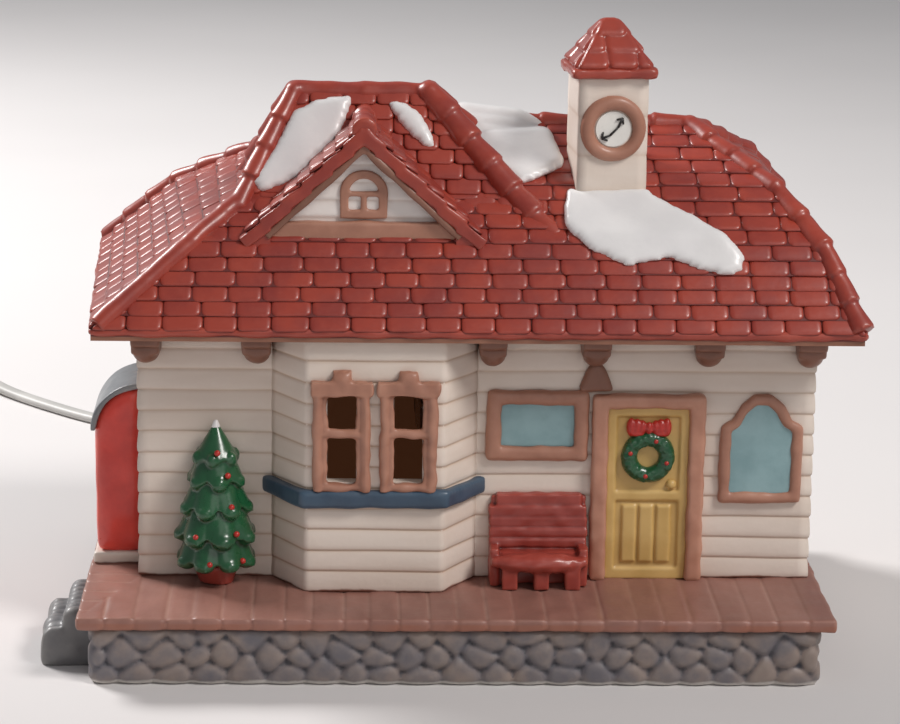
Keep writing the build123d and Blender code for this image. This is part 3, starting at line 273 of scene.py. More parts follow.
paint_settings = {
    "stone_gray": dict(roughness=0.5, coat=0.1, extra=pale_foot),
    "step_gray": dict(roughness=0.5),
    "deck_brown": dict(roughness=0.5, coat=0.1, streak=(1, 0.25, 1), wash_share=0.5, extra=orange_lip),
    "siding_cream": dict(roughness=0.52, coat=0.08, streak=(0.3, 0.3, 1), extra=brown_foot),
    "frame_brown": dict(roughness=0.44),
    "snowlit_gable_cream": dict(roughness=0.5),
    "lit_jamb_brown": dict(roughness=0.44),
    "dark_and_shaded_brown": dict(roughness=0.46),
    "roof_red": dict(roughness=0.4, coat=0.22, dry_share=0.25),
    "roof_fascia": dict(roughness=0.46, extra=red_above),
    # The bare inner walls give off a faint warm painted glow, though they are no lamp.
    "glowing_bare_brown": dict(roughness=0.6, glow=(0.024, 0.009, 0.004, 1.0)),
    "snow_white": dict(roughness=0.36, coat=0.25),
    "panel_blue": dict(roughness=0.5),
    "door_ochre": dict(roughness=0.48),
    "tree_green": dict(roughness=0.3, coat=0.5),
    "bright_red": dict(roughness=0.36, coat=0.3),
    "box_red": dict(roughness=0.34, coat=0.5),
    "bench_red": dict(roughness=0.4, coat=0.25, streak=(0.35, 1, 1)),
    "dial_white": dict(roughness=0.4),
}
finishes = {
    name: painted(name, colours, **paint_settings.get(name, {})) for name, colours in paint_colours.items()
}


def moulded(name, colour, roughness, metallic=0.0, grain_scale=900.0, **constants):
    """A moulded or metal surface with a faint grain in its colour, gloss and relief."""
    finish = Finish(name, roughness, metallic=metallic, **constants)
    cloud = finish.grain(scale=70.0)
    fine = finish.grain(grain_scale)
    darker = tuple(c * 0.86 for c in colour[:3]) + (1.0,)
    finish.feed("Base Color", cloud.between(0.3, 0.7).mixed(darker, colour))
    finish.feed("Roughness", fine * 0.14 + (roughness - 0.07))
    finish.bump(fine, strength=0.15, distance=0.05)
    return finish.material


moulded_looks = {
    "holder_white": ((208, 205, 195), 0.4, {}),
    "brass": ((214, 176, 96), 0.28, {"metallic": 1.0}),
    "spring_steel": ((196, 196, 200), 0.26, {"metallic": 1.0}),
    "cord_white": ((196, 194, 190), 0.45, {}),
    "switch_white": ((206, 203, 193), 0.42, {}),
    "wheel_white": ((196, 192, 180), 0.5, {}),
    "tie_white": ((206, 206, 202), 0.5, {}),
    "bulb_glass": ((250, 250, 250), 0.08, {"grain_scale": 300.0, "Transmission Weight": 0.92}),
}
for look, (look_colour, look_roughness, settings) in moulded_looks.items():
    finishes[look] = moulded(look, rgb(*look_colour), look_roughness, **settings)


# Directions and turns

quarters = ((-1, -1), (1, -1), (1, 1), (-1, 1))
slopes = ((0, 1), (1, 2), (2, 3), (3, 0))


def quad(half_x, half_y, z):
    """Four corners about the axis, front left round to back left."""
    return [at(sx * half_x, sy * half_y, z) for sx, sy in quarters]


def ring(x0, x1, y0, y1, z=0):
    """Four corners between two lines each way, front left round to back left."""
    return [at(x0, y0, z), at(x1, y0, z), at(x1, y1, z), at(x0, y1, z)]


def spoke(angle):
    """The way out from an upright axis at an angle."""
    return at(math.cos(angle), math.sin(angle), 0)


def face_spoke(angle):
    """The way out from an axis that runs front to back, at an angle."""
    return at(math.cos(angle), 0, math.sin(angle))


def axes(x, y, z):
    """The matrix that turns the three axes to these."""
    return Matrix((x, y, z)).transposed().to_4x4()


def turned(angle):
    return Matrix.Rotation(angle, 4, "Z")


# Making meshes

def mesh_of(bm, name):
    """The bmesh as a mesh; the bmesh is freed."""
    mesh = bpy.data.meshes.new(name)
    bm.to_mesh(mesh)
    bm.free()
    return mesh


def new_object(name, data):
    made = bpy.data.objects.new(name, data)
    bpy.context.scene.collection.objects.link(made)
    return made


def sheet(columns, rows, place):
    """A grid of faces whose corner in each column and row is put where place says."""
    bm = bmesh.new()
    made = bmesh.ops.create_grid(bm, x_segments=columns, y_segments=rows, size=0.5)["verts"]
    for v in made:
        v.co = place(round((v.co.x + 0.5) * columns), round((v.co.y + 0.5) * rows))
    return bm


def poured(bm, other):
    """Adds another bmesh to this one, and frees it."""
    mesh = mesh_of(other, "poured")
    bm.from_mesh(mesh)
    bpy.data.meshes.remove(mesh)


def moved(bm, matrix):
    bmesh.ops.transform(bm, matrix=matrix, verts=bm.verts)


def welded(bm, reach=0.001):
    bmesh.ops.remove_doubles(bm, verts=bm.verts, dist=reach)


def faced_out(bm):
    bmesh.ops.recalc_face_normals(bm, faces=bm.faces)


def skin(bm, thickness):
    """A sheet welded at its seams and given a thickness."""
    welded(bm)
    faced_out(bm)
    bmesh.ops.solidify(bm, geom=bm.faces, thickness=thickness)
    return bm


def bevelled(bm, geom, offset, segments, affect, offset_type="OFFSET", clamp=False):
    bmesh.ops.bevel(
        bm, geom=geom, offset=offset, offset_type=offset_type, segments=segments, profile=0.5,
        affect=affect, clamp_overlap=clamp, material=-1,
    )


def sliced(bm, place, way):
    """Cuts off what lies beyond a plane, and gives the edges and corners of the cut."""
    return bmesh.ops.bisect_plane(
        bm, geom=bm.verts[:] + bm.edges[:] + bm.faces[:], dist=0.0001, plane_co=place, plane_no=way,
        clear_outer=True,
    )["geom_cut"]


def trimmed(bm, place, way):
    """Cuts off what lies beyond a plane and closes the cut."""
    cut = sliced(bm, place, way)
    bmesh.ops.holes_fill(bm, edges=[g for g in cut if isinstance(g, bmesh.types.BMEdge)], sides=0)


def raised_face(bm, faces):
    """The face that comes of drawing one face out, still where that face was."""
    drawn = bmesh.ops.extrude_face_region(bm, geom=faces)["geom"]
    return next(g for g in drawn if isinstance(g, bmesh.types.BMFace))


def block(bm, low, high, edge=0.0):
    """A block between two corners, with its edges rounded off where edge is given."""
    low, high = Vector(low), Vector(high)
    made = bmesh.ops.create_cube(bm, size=1.0)["verts"]
    bmesh.ops.scale(bm, vec=high - low, verts=made)
    bmesh.ops.translate(bm, vec=(low + high) / 2, verts=made)
    if edge:
        bevelled(bm, list({e for v in made for e in v.link_edges}), edge, 2, "EDGES")


def ring_blocks(bm, low, high, room_low, room_high, foot, top):
    """Four blocks round a room, from an outer box in to an inner one."""
    for x0, x1, y0, y1 in (
        (low.x, high.x, low.y, room_low.y), (low.x, high.x, room_high.y, high.y),
        (low.x, room_low.x, low.y, high.y), (room_high.x, high.x, low.y, high.y),
    ):
        block(bm, (x0, y0, foot), (x1, y1, top))


def ball(bm, middle, size):
    """An egg shape with half-lengths along the axes."""
    made = bmesh.ops.create_icosphere(bm, subdivisions=2, radius=1.0)["verts"]
    bmesh.ops.scale(bm, vec=size, verts=made)
    bmesh.ops.translate(bm, vec=middle, verts=made)


def frustum(bm, start, end, first, last, sides=14):
    """A closed cone from start to end with a radius at each."""
    way = end - start
    matrix = Matrix.Translation((start + end) / 2) @ way.to_track_quat("Z", "Y").to_matrix().to_4x4()
    bmesh.ops.create_cone(
        bm, cap_ends=True, segments=sides, radius1=first, radius2=last, depth=way.length, matrix=matrix
    )


def beam(bm, start, end, wide, tall):
    """A bar from start to end, wide across it and tall up from it."""
    way = end - start
    side = way.cross(UP).normalized()
    rise = side.cross(way).normalized()
    turn = axes(way, side * wide, rise * tall)
    bmesh.ops.create_cube(bm, size=1.0, matrix=Matrix.Translation((start + end) / 2) @ turn)


def evaluated(bm, adapt):
    """The bmesh after the modifiers that adapt gives a throwaway object made from it."""
    mesh = mesh_of(bm, "raw")
    raw = new_object("raw", mesh)
    adapt(raw)
    graph = bpy.context.evaluated_depsgraph_get()
    result = bpy.data.meshes.new_from_object(raw.evaluated_get(graph))
    made = bmesh.new()
    made.from_mesh(result)
    bpy.data.objects.remove(raw)
    bpy.data.meshes.remove(mesh)
    bpy.data.meshes.remove(result)
    return made


def carved(bm, cutters):
    """The bmesh with the cutters' solids taken away."""
    mesh = mesh_of(cutters, "cutters")
    tool = new_object("cutters", mesh)

    def cut(raw):
        carve = raw.modifiers.new("carve", "BOOLEAN")
        carve.operation = "DIFFERENCE"
        carve.solver = "EXACT"
        carve.object = tool

    made = evaluated(bm, cut)
    bpy.data.objects.remove(tool)
    bpy.data.meshes.remove(mesh)
    return made


def smoothed(bm, rounds):
    for _ in range(rounds):
        bmesh.ops.smooth_vert(
            bm, verts=bm.verts, factor=0.5, use_axis_x=True, use_axis_y=True, use_axis_z=True
        )


def cast(bm, voxel, rounds=2, swell=0.0, wobble=0.0, wash_rounds=5, wash_depth=0.16, grain=0.16):
    """The solids in bm fused into one soft skin, as slip takes a mould, with the wash left in hollows."""
    def fuse(raw):
        remesh = raw.modifiers.new("fuse", "REMESH")
        remesh.mode = "VOXEL"
        remesh.voxel_size = voxel

    made = evaluated(bm, fuse)
    made.normal_update()
    for v in made.verts:
        drift = noise.noise(v.co * grain) * wobble
        v.co += v.normal * (swell + drift)
    smoothed(made, rounds)
    made.normal_update()
    held = [(v.co.copy(), v.normal.copy()) for v in made.verts]
    smoothed(made, wash_rounds)
    wash = made.verts.layers.float.new("wash")
    for v, (place, normal) in zip(made.verts, held):
        v[wash] = (v.co - place).dot(normal) / wash_depth
        v.co = place
    return made


def solids_of(node):
    """A merged copy of a node's mesh, in millimetres."""
    bm = bmesh.new()
    bm.from_mesh(nodes[node].data)
    bmesh.ops.scale(bm, vec=(1 / MM, 1 / MM, 1 / MM), verts=bm.verts)
    welded(bm)
    return bm


def islands(node):
    """The lowest and highest corner of each separate solid of a node."""
    bm = solids_of(node)
    left = set(bm.verts)
    boxes = []
    while left:
        reached, front = set(), {left.pop()}
        while front:
            reached |= front
            front = {e.other_vert(v) for v in front for e in v.link_edges} - reached
        left -= reached
        corners = [[f(v.co[axis] for v in reached) for axis in range(3)] for f in (min, max)]
        boxes.append((Vector(corners[0]), Vector(corners[1])))
    bm.free()
    return sorted(boxes, key=lambda box: tuple(round(c, 2) for c in box[0]))


def piece(name, bm, slot, body="house", stands_for=(), finish=None):
    """A bmesh in millimetres becomes a smooth piece that rides on a body."""
    bmesh.ops.scale(bm, vec=(MM, MM, MM), verts=bm.verts)
    mesh = mesh_of(bm, name)
    mesh.polygons.foreach_set("use_smooth", [True] * len(mesh.polygons))
    mesh.materials.append(finishes[finish or slot])
    made = new_object(name, mesh)
    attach(made, body)
    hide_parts(*stands_for)
    return made


def recast(node, slot, voxel=0.4, rounds=2, finish=None, **softness):
    """A node's own shape with cast, softened edges."""
    made = cast(solids_of(node), voxel, rounds, **softness)
    piece(f"{node}_cast", made, slot, stands_for=[node], finish=finish)


# Clapboards: a sheet that steps out at each board's lower edge

board_pitch = 5.4
board_step = 2.4
board_wave = 0.42
board_wave_grain = 0.035
board_wave_step = 3.7
board_relief = 0.58
board_lump = 0.22
board_lump_grain = (0.09, 0.12)
board_skin = 0.5
board_rows = (
    (0.0, 0.2, 1.0), (0.05, 0.62, 0.4), (0.13, 0.88, -0.2), (0.3, 0.95, -0.3), (0.6, 0.8, 0.0),
    (0.84, 0.6, 0.0), (0.95, 0.42, 0.35),
)


def walk(corners, step, closed):
    """Places every step or so along a plan line, each with the way out, which is longer at a corner."""
    corners = [Vector(c).to_2d() for c in corners]
    count = len(corners) if closed else len(corners) - 1
    legs = [(corners[(i + 1) % len(corners)] - corners[i]) for i in range(count)]
    outs = [Vector((leg.y, -leg.x)).normalized() for leg in legs]
    stops = []
    for i, leg in enumerate(legs):
        before = outs[i - 1] if closed or i else outs[i]
        both = before + outs[i]
        stops.append((corners[i], both * (2 / both.length_squared)))
        parts = max(1, round(leg.length / step))
        stops += [(corners[i] + leg * (n / parts), outs[i]) for n in range(1, parts)]
    stops.append(stops[0] if closed else (corners[-1], outs[-1]))
    return stops


def clapboards(corners, low, high, closed=False, relief=board_relief, pitch=board_pitch, lines=1.0):
    """Lapped boards with gently uneven lines up a wall, as one closed skin."""
    stops = walk(corners, board_step, closed)
    boards = max(1, round((high - low) / pitch))
    rows = [(n + share, out, wash) for n in range(boards) for share, out, wash in board_rows]
    rows.append((boards, board_rows[-1][1], 0.0))

    def line(number, place):
        """Height of the line under a board, at a place."""
        spot = (place.x * board_wave_grain, place.y * board_wave_grain, number * board_wave_step)
        wave = 0.0 if number in (0, boards) else noise.noise(spot)
        return low + (high - low) * number / boards + wave * board_wave

    def place(column, row):
        spot, way = stops[column]
        share, out, _ = rows[row]
        number = min(int(share), boards - 1)
        z = line(number, spot) + (line(number + 1, spot) - line(number, spot)) * (share - number)
        flat_grain, up_grain = board_lump_grain
        lumps = noise.noise((spot.x * flat_grain, spot.y * flat_grain, z * up_grain)) * board_lump
        flat = spot + way * ((out + lumps) * relief)
        return at(flat.x, flat.y, z)

    bm = sheet(len(stops) - 1, len(rows) - 1, place)
    wash = bm.verts.layers.float.new("wash")
    for number, v in enumerate(bm.verts):
        v[wash] = rows[number // len(stops)][2] * lines
    return skin(bm, board_skin)


def rounded(corners, reach):
    """A plan line whose inner corners are rounded off, starting a reach away from each."""
    corners = [Vector(c).to_2d() for c in corners]
    line = [corners[0]]
    for before, corner, after in zip(corners, corners[1:], corners[2:]):
        start = corner + (before - corner).normalized() * reach
        end = corner + (after - corner).normalized() * reach
        for share in (0.0, 0.25, 0.5, 0.75, 1.0):
            line.append(start.lerp(corner, share).lerp(corner.lerp(end, share), share))
    return line + [corners[-1]]


bay_front_width = 33.7
bay_corner_reach = 0.9
bay_middle = (bay_low.x + bay_high.x) / 2
lamp_low, lamp_high = box_of("lamp_socket")
lamp_axis = at((lamp_low.x + lamp_high.x) / 2, 0, (lamp_low.z + lamp_high.z) / 2)
lamp_hole = 14.0
opening_reach = 4.5
window_boxes = {hand: box_of(f"window_frame_{hand}") for hand in ("left", "right")}
window_stile = 3.0


def walls():
    reach = opening_reach
    corners = ring(wall_low.x, wall_high.x, wall_low.y, wall_high.y)
    siding = clapboards(corners, wall_low.z, wall_high.z, closed=True, lines=0.6)
    openings = bmesh.new()
    block(openings, (bay_low.x + reach, wall_low.y - reach, wall_low.z + reach),
          (bay_high.x - reach, wall_low.y + reach, wall_high.z - reach))
    for panel in ("sign_panel", "door_leaf"):
        low, high = box_of(panel)
        block(openings, (low.x, wall_low.y - reach, low.z), (high.x, wall_low.y + reach, high.z))
    inner, outer = (lamp_axis + at(0, wall_high.y + way, 0) for way in (-reach, reach))
    frustum(openings, inner, outer, lamp_hole, lamp_hole, sides=48)
    piece("wall_siding", carved(siding, openings), "siding_cream")


def bay():
    half = bay_front_width / 2
    corners = [
        at(bay_low.x, bay_high.y, 0), at(bay_middle - half, bay_low.y, 0),
        at(bay_middle + half, bay_low.y, 0), at(bay_high.x, bay_high.y, 0),
    ]
    siding = clapboards(rounded(corners, bay_corner_reach), bay_low.z, bay_high.z, lines=0.85)
    openings = bmesh.new()
    margin = window_stile
    for low, high in window_boxes.values():
        block(openings, (low.x + margin, low.y - margin, low.z + margin / 2),
              (high.x - margin, high.y + margin, high.z - 2 * margin))
    piece("bay_siding", carved(siding, openings), "siding_cream")


# Roofs: every tile is laid by itself, in courses from the eave up

rise_shares = (0.0, 0.45, 0.726, 1.0)
slope_shares = (0.0, 0.24, 0.5, 1.0)
left_front_shares = (0.0, 0.433, 0.726, 1.0)
left_back_shares = (-0.10, 0.285, 0.709, 1.0)
roof_left_run = 54.3
roof_right_run = 38.4
roof_length = 189.0
roof_left = roof_high.x - roof_length
ridge_width = 2.0
ridge_y = (roof_low.y + roof_high.y) / 2
section_courses = (6, 4, 5)
course = 4.25
tile_width = 9.1
tile_gap = 0.12
tile_thickness = 0.78
tile_tuck = 1.22
tile_corner = 1.45
tile_lean = 0.75
tile_sink = 0.05
tile_dome = ((0.22, 0.3), (0.34, 0.22), (0.7, 0.12))
tile_start_shift = 0.8
tile_width_range = (0.9, 1.1)
tile_height_range = (0.9, 1.12)
tile_tilt = 1.3
tile_slip = 0.05
tile_shade = 0.5


def roof_rings():
    """The roof's corners, front left round to back left, at each height."""
    half = (roof_high.y - roof_low.y - ridge_width) / 2
    rings = []
    for rise, slope, left_front, left_back in zip(
        rise_shares, slope_shares, left_front_shares, left_back_shares
    ):
        z = eave_top + (roof_high.z - eave_top) * rise
        front, back = roof_low.y + half * slope, roof_high.y - half * slope
        right = roof_high.x - roof_right_run * slope
        rings.append([
            at(roof_left + roof_left_run * left_front, front, z), at(right, front, z),
            at(right, back, z), at(roof_left + roof_left_run * left_back, back, z),
        ])
    return rings


def tile_shape():
    """A roof tile of one course, with round lower corners and a domed top, lying on the one below."""
    bm = bmesh.new()
    outline = ((-0.5, 0, 0), (0.5, 0, 0), (0.5, tile_tuck, 0), (-0.5, tile_tuck, 0))
    corners = [bm.verts.new(c) for c in outline]
    bm.faces.new(corners)
    bmesh.ops.scale(bm, vec=(tile_width, course, 1), verts=bm.verts)
    bevelled(bm, corners[:2], tile_corner, 4, "VERTICES")
    top = raised_face(bm, [bm.faces[:][0]])
    bmesh.ops.translate(bm, vec=(0, 0, tile_thickness * 0.4), verts=top.verts)
    for reach, rise in tile_dome:
        bmesh.ops.inset_region(
            bm, faces=[top], thickness=reach, depth=tile_thickness * rise, use_even_offset=True
        )
    faced_out(bm)
    # Paint: darkest round the tile's foot, in the joints between tiles, a wash that also stands in for
    # painted shade there; lighter up its sides and slightly paler on the domed top.
    wash = bm.verts.layers.float.new("wash")
    for v in bm.verts:
        height = v.co.z / tile_thickness
        v[wash] = 0.9 if height < 0.2 else 0.45 if height < 0.7 else -0.1
        v.co.z += tile_lean * (1 - v.co.y / (course * tile_tuck)) - tile_sink
    bm.verts.layers.float.new("tone")
    return mesh_of(bm, "tile")


tile_mesh = tile_shape()


def new_tiles():
    bm = bmesh.new()
    bm.verts.layers.float.new("wash")
    bm.verts.layers.float.new("tone")
    return bm


def lay_tile(laid, matrix):
    """One tile, with a shade of its own."""
    before = len(laid.verts)
    laid.from_mesh(tile_mesh)
    laid.verts.ensure_lookup_table()
    fresh = laid.verts[before:]
    bmesh.ops.transform(laid, matrix=matrix, verts=fresh)
    tone = laid.verts.layers.float["tone"]
    shade = vary(-tile_shade, tile_shade)
    for v in fresh:
        v[tone] = shade


def lay_tiles(bm, lower, upper, first_course=0, width=tile_width, courses=0):
    """Courses of tiles on a slope from its lower edge to its upper one, trimmed at the slope's two sides."""
    (a, b), (d, c) = lower, upper
    slope = ((c + d) / 2 - (a + b) / 2).length
    courses = courses or max(1, round(slope / course))
    laid = bmesh.new()
    out = Vector()
    for number in range(courses):
        share, next_share = number / courses, (number + 1) / courses
        left, right = a.lerp(d, share), b.lerp(c, share)
        rise = (a.lerp(d, next_share) + b.lerp(c, next_share) - left - right) / 2
        along = (right - left).normalized()
        up = rise - along * rise.dot(along)
        out = along.cross(up).normalized()
        turn = axes(along, up.normalized(), out)
        reach = (right - left).length
        widths_back = 0.5 if (first_course + number) % 2 else 1.0
        x = -width * widths_back + vary(-tile_start_shift, tile_start_shift)
        while x < reach + width:
            wide = width * vary(*tile_width_range)
            tilt = turned(math.radians(vary(-tile_tilt, tile_tilt)))
            tall = vary(*tile_height_range)
            size = Matrix.Diagonal(((wide - tile_gap) / tile_width, up.length / course, tall, 1))
            spot = left + along * (x + wide / 2) + up * vary(-tile_slip, tile_slip)
            lay_tile(laid, Matrix.Translation(spot) @ turn @ tilt @ size)
            x += wide
    for low, high, hand in ((a, d, -1), (b, c, 1)):
        side = (high - low).cross(out).normalized()
        if side.dot((b - a) * hand) < 0:
            side.negate()
        trimmed(laid, low, side)
    poured(bm, laid)
    return first_course + courses


def lay_slopes(bm, foot, top, **laying):
    """Tiles on the four slopes between two rings of corners."""
    for first, second in slopes:
        lay_tiles(bm, (foot[first], foot[second]), (top[first], top[second]), **laying)


def main_roof():
    rings = roof_rings()
    for name, (first, second) in zip(("front", "right", "back", "left"), slopes):
        bm, laid = new_tiles(), 0
        for low, high, courses in zip(rings, rings[1:], section_courses):
            lower, upper = (low[first], low[second]), (high[first], high[second])
            laid = lay_tiles(bm, lower, upper, laid, courses=courses)
        piece(f"roof_tiles_{name}", bm, "roof_red")


upper_ridge_length = 34.0
upper_left_run = 17.2
upper_right_run = 31.1
upper_front_run = 23.0
upper_drop = 33.5
upper_inset = 48.5
upper_setback = 41.0


def upper_corners():
    """The cross roof's foot and ridge corners, front left round to back left."""
    middle_y = roof_low.y + upper_setback
    left = roof_left + upper_inset
    right = left + upper_ridge_length
    thin, run = ridge_width / 2, upper_front_run
    foot = ring(left - upper_left_run, right + upper_right_run, middle_y - run, middle_y + run,
                upper_ridge - upper_drop)
    return foot, ring(left, right, middle_y - thin, middle_y + thin, upper_ridge)


def cross_roof():
    bm = new_tiles()
    lay_slopes(bm, *upper_corners())
    piece("cross_roof_tiles", bm, "roof_red")


dormer_middle = (dormer_low.x + dormer_high.x) / 2
dormer_half = (dormer_high.x - dormer_low.x) / 2
dormer_height = 26.6
dormer_foot = dormer_high.z - dormer_height
verge_width = 3.2
verge_depth = 3.0
verge_lengths = 6
verge_overlap = 1.12
verge_drop = 2.2
bargeboard_width = 1.8
bargeboard_depth = 2.8
bargeboard_start = 3.2


def dormer():
    """Tiles up both slopes, a smooth red verge along the front edges and a thin brown board inside it."""
    tiles, verges, boards = new_tiles(), bmesh.new(), bmesh.new()
    front, back = dormer_low.y, upper_corners()[1][0].y
    apex_front, apex_back = (at(dormer_middle, y, dormer_high.z) for y in (front, back))
    for hand in (-1, 1):
        foot_x = dormer_middle + hand * dormer_half
        foot_front, foot_back = (at(foot_x, y, dormer_foot) for y in (front, back))
        lower, upper = (foot_back, foot_front), (apex_back, apex_front)
        if hand > 0:
            lower, upper = lower[::-1], upper[::-1]
        lay_tiles(tiles, lower, upper)
        way = (apex_front - foot_front).normalized()
        inward = at(-hand * way.z, 0, -abs(way.x))
        low = foot_front - way * verge_drop
        shift = inward * (verge_width / 2 - 0.3) + BACK * 0.7
        for n in range(verge_lengths):
            start = low.lerp(apex_front, n / verge_lengths) - inward * 0.5
            end = low.lerp(apex_front, (n + verge_overlap) / verge_lengths) + inward * 0.3
            beam(verges, start + shift, end + shift, verge_depth, verge_width)
        shift = inward * (verge_width + bargeboard_width / 2 - 0.5) + BACK * 0.8
        start = foot_front + way * bargeboard_start
        beam(boards, start + shift, apex_front + shift, bargeboard_depth, bargeboard_width)
    piece("dormer_tiles", tiles, "roof_red")
    piece("dormer_verges", cast(verges, 0.36, 3, wobble=0.4, grain=0.22), "roof_red")
    piece("dormer_bargeboards", cast(boards, 0.36, 2, wobble=0.4), "frame_brown", finish="dark_and_shaded_brown")


tower_twist = turned(math.radians(5.0))
tower_width = 17.1
tower_depth = 17.0
tower_board = 8.4
cap_width = 20.4
cap_middle = (cap_low + cap_high) / 2
cap_eave = 2.2
cap_sink = 1.1
cap_top = (1.9, 0.8)
cap_tile_width = 8.0
cap_courses = 3


def tower_cap():
    """Broad tiles in three courses, sunk and fused into the cap so that its hips stay smooth."""
    bm = bmesh.new()
    half = cap_width / 2 - cap_sink
    foot, top = quad(half, half, cap_low.z + cap_eave), quad(*cap_top, cap_high.z - cap_sink)
    lay_slopes(bm, foot, top, width=cap_tile_width, courses=cap_courses)
    moved(bm, Matrix.Translation((cap_middle.x, cap_middle.y, 0)) @ tower_twist)
    core = solids_of("tower_cap")
    shrink = 1 - cap_sink / cap_width
    for v in core.verts:
        rise = (v.co.z - cap_low.z) / (cap_high.z - cap_low.z)
        v.co.z -= rise * cap_sink * 0.5
        v.co.x = cap_middle.x + (v.co.x - cap_middle.x) * shrink
        v.co.y = cap_middle.y + (v.co.y - cap_middle.y) * shrink
    poured(bm, core)
    piece("tower_cap_tiles", cast(bm, 0.3, 3, swell=0.1), "roof_red", stands_for=["tower_cap"])


hip_start = 0.06
hip_short = 9.2
hip_long = 16.0
hip_radius = 2.55
hip_broad = 3.25
hip_overlap = 1.1
hip_flare = (1.16, 1.28)
hip_taper = 0.9
roll_flare = 1.03
roll_taper = 0.96


def cap_tiles():
    """Half-round tiles that overlap up the hips and along the ridges, fused and softened."""
    rings, (foot, top) = roof_rings(), upper_corners()
    runs = []
    for corner in range(4):
        line = [level[corner] for level in rings]
        line[0] = line[0].lerp(line[1], hip_start)
        runs.append((line, hip_long if corner == 0 else hip_short, hip_radius))
    ends = [at(rings[-1][corner].x, ridge_y, roof_high.z) for corner in (0, 1)]
    runs.append((ends, hip_short, hip_radius))
    runs += [([foot[n], top[n]], hip_short, hip_broad if n in (1, 2) else hip_radius) for n in range(4)]
    runs.append(([(top[0] + top[3]) / 2, (top[1] + top[2]) / 2], hip_long, hip_radius))
    ridge = [at(dormer_middle, y, dormer_high.z - 0.3) for y in (dormer_low.y - 0.6, top[0].y)]
    runs.append((ridge, hip_short, hip_radius))
    bm = bmesh.new()
    for line, length, size in runs:
        tiled = length == hip_short
        for start, end in zip(line, line[1:]):
            count = max(1, round((end - start).length / length))
            for n in range(count):
                low = start.lerp(end, n / count)
                high = start.lerp(end, min(1, (n + hip_overlap) / count))
                wide = size * (vary(*hip_flare) if tiled else roll_flare)
                frustum(bm, low, high, wide, size * (hip_taper if tiled else roll_taper), sides=20)
            ball(bm, end, (size, size, size))
    piece("hip_cap_tiles", cast(bm, 0.5, 2, wobble=0.4), "roof_red", stands_for=["ridge_tiles"])


def eaves():
    """The rounded red edges of the roof and of the tower's cap."""
    bm = bmesh.new()
    half = cap_width / 2 - 0.7
    roof = [c + at(-sx, -sy, 0) * 0.5 for c, (sx, sy) in zip(roof_rings()[0], quarters)]
    cap = [at(cap_middle.x, cap_middle.y, cap_low.z + 1.3) + tower_twist @ c for c in quad(half, half, 0)]
    for corners, wide, tall, knob in ((roof, 2.4, 2.3, 1.5), (cap, 2.2, 2.4, 1.3)):
        for start, end in zip(corners, corners[1:] + corners[:1]):
            beam(bm, start, end, wide, tall)
            ball(bm, start, (knob, knob, 1.2))
    piece("eave_edges", cast(bm, 0.5, 2, wobble=0.6), "roof_red")


# Clock tower

def tower():
    middle = (tower_low + tower_high) / 2
    corners = [middle + tower_twist @ c for c in quad(tower_width / 2, tower_depth / 2, 0)]
    siding = clapboards(
        corners, tower_low.z + 1, tower_high.z, closed=True, relief=0.2, pitch=tower_board, lines=0.35
    )
    piece("tower_siding", siding, "siding_cream")
    recast("clock_bezel", "frame_brown", 0.3, 4, swell=-0.2, wobble=0.25)
    hands()


hand_line = ((-2.9, -2.3), (-0.8, -1.5), (1.2, 0.5), (2.2, 2.7))
hand_barbs = ((0, (-1.6, -2.8)), (0, (-2.6, -0.9)), (-1, (0.9, 2.4)), (-1, (2.4, 1.4)))
hand_radii = (0.32, 0.26)


def hands():
    """Painted clock hands: one bent line with a barbed end each way."""
    low, high = box_of("clock_dial")
    middle = (low + high) / 2
    across = tower_twist @ ACROSS
    face = middle + across.cross(UP) * ((high.y - low.y) / 2 - 0.05)
    first, last = hand_radii

    def spot(x, z):
        return face + across * x + UP * z

    bm = bmesh.new()
    barbs = [(hand_line[end], tip) for end, tip in hand_barbs]
    for start, end in [*zip(hand_line, hand_line[1:]), *barbs]:
        frustum(bm, spot(*start), spot(*end), first, last, sides=8)
        ball(bm, spot(*end), (last, last, last))
    piece("clock_hands", bm, "dial_white", finish="ink")


# Snow

snow_stretch = 1.4
snow_hip_foot = 0.15
drift_line = ((-0.14, 0.8), (0.55, -0.6), (0.92, -1.8))
drift_radii = (4.2, 3.6, 1.2)
drift_rows = ((0.0, 0.0), (-3.0, 0.2), (-6.0, 0.5), (-9.0, 0.9))
drift_slope = 0.57
hip_snow_place = 0.3
hip_snow_lumps = (
    ((8.5, 0.5, 0.6), (5.6, 5.0, 1.5)), ((10.5, -2.6, 0.5), (4.8, 4.6, 1.4)),
    ((6.5, 3.5, 0.5), (4.0, 3.0, 1.3)),
)


def snow():
    """Thick drifts: the roof's own patches, one drawn out to the hip, one over the ridge, one on a slope."""
    bm = solids_of("roof_snow")
    patches = islands("roof_snow")
    low, high = patches[0]
    for v in bm.verts:
        if v.co.x <= high.x:
            rise = (v.co.z - low.z) / (high.z - low.z)
            right = low.x + (high.x - low.x) * (snow_hip_foot + (1 - snow_hip_foot) * rise)
            v.co.x = right + (v.co.x - right) * (snow_stretch if v.co.x < right else 1.0)
    low, high = patches[2]
    line = [
        at(low.x + (high.x - low.x) * share, ridge_y - 0.8, roof_high.z + lift) for share, lift in drift_line
    ]
    for start, end, first, last in zip(line, line[1:], drift_radii, drift_radii[1:]):
        for forward, thinner in drift_rows:
            shift = at(0, forward, forward * drift_slope)
            frustum(bm, start + shift, end + shift, first - thinner, last - thinner, sides=24)
    made = cast(bm, 0.6, 11, swell=0.95, wobble=0.4, grain=0.12)
    piece("roof_snow_cast", made, "snow_white", stands_for=["roof_snow"])
    hip_snow()


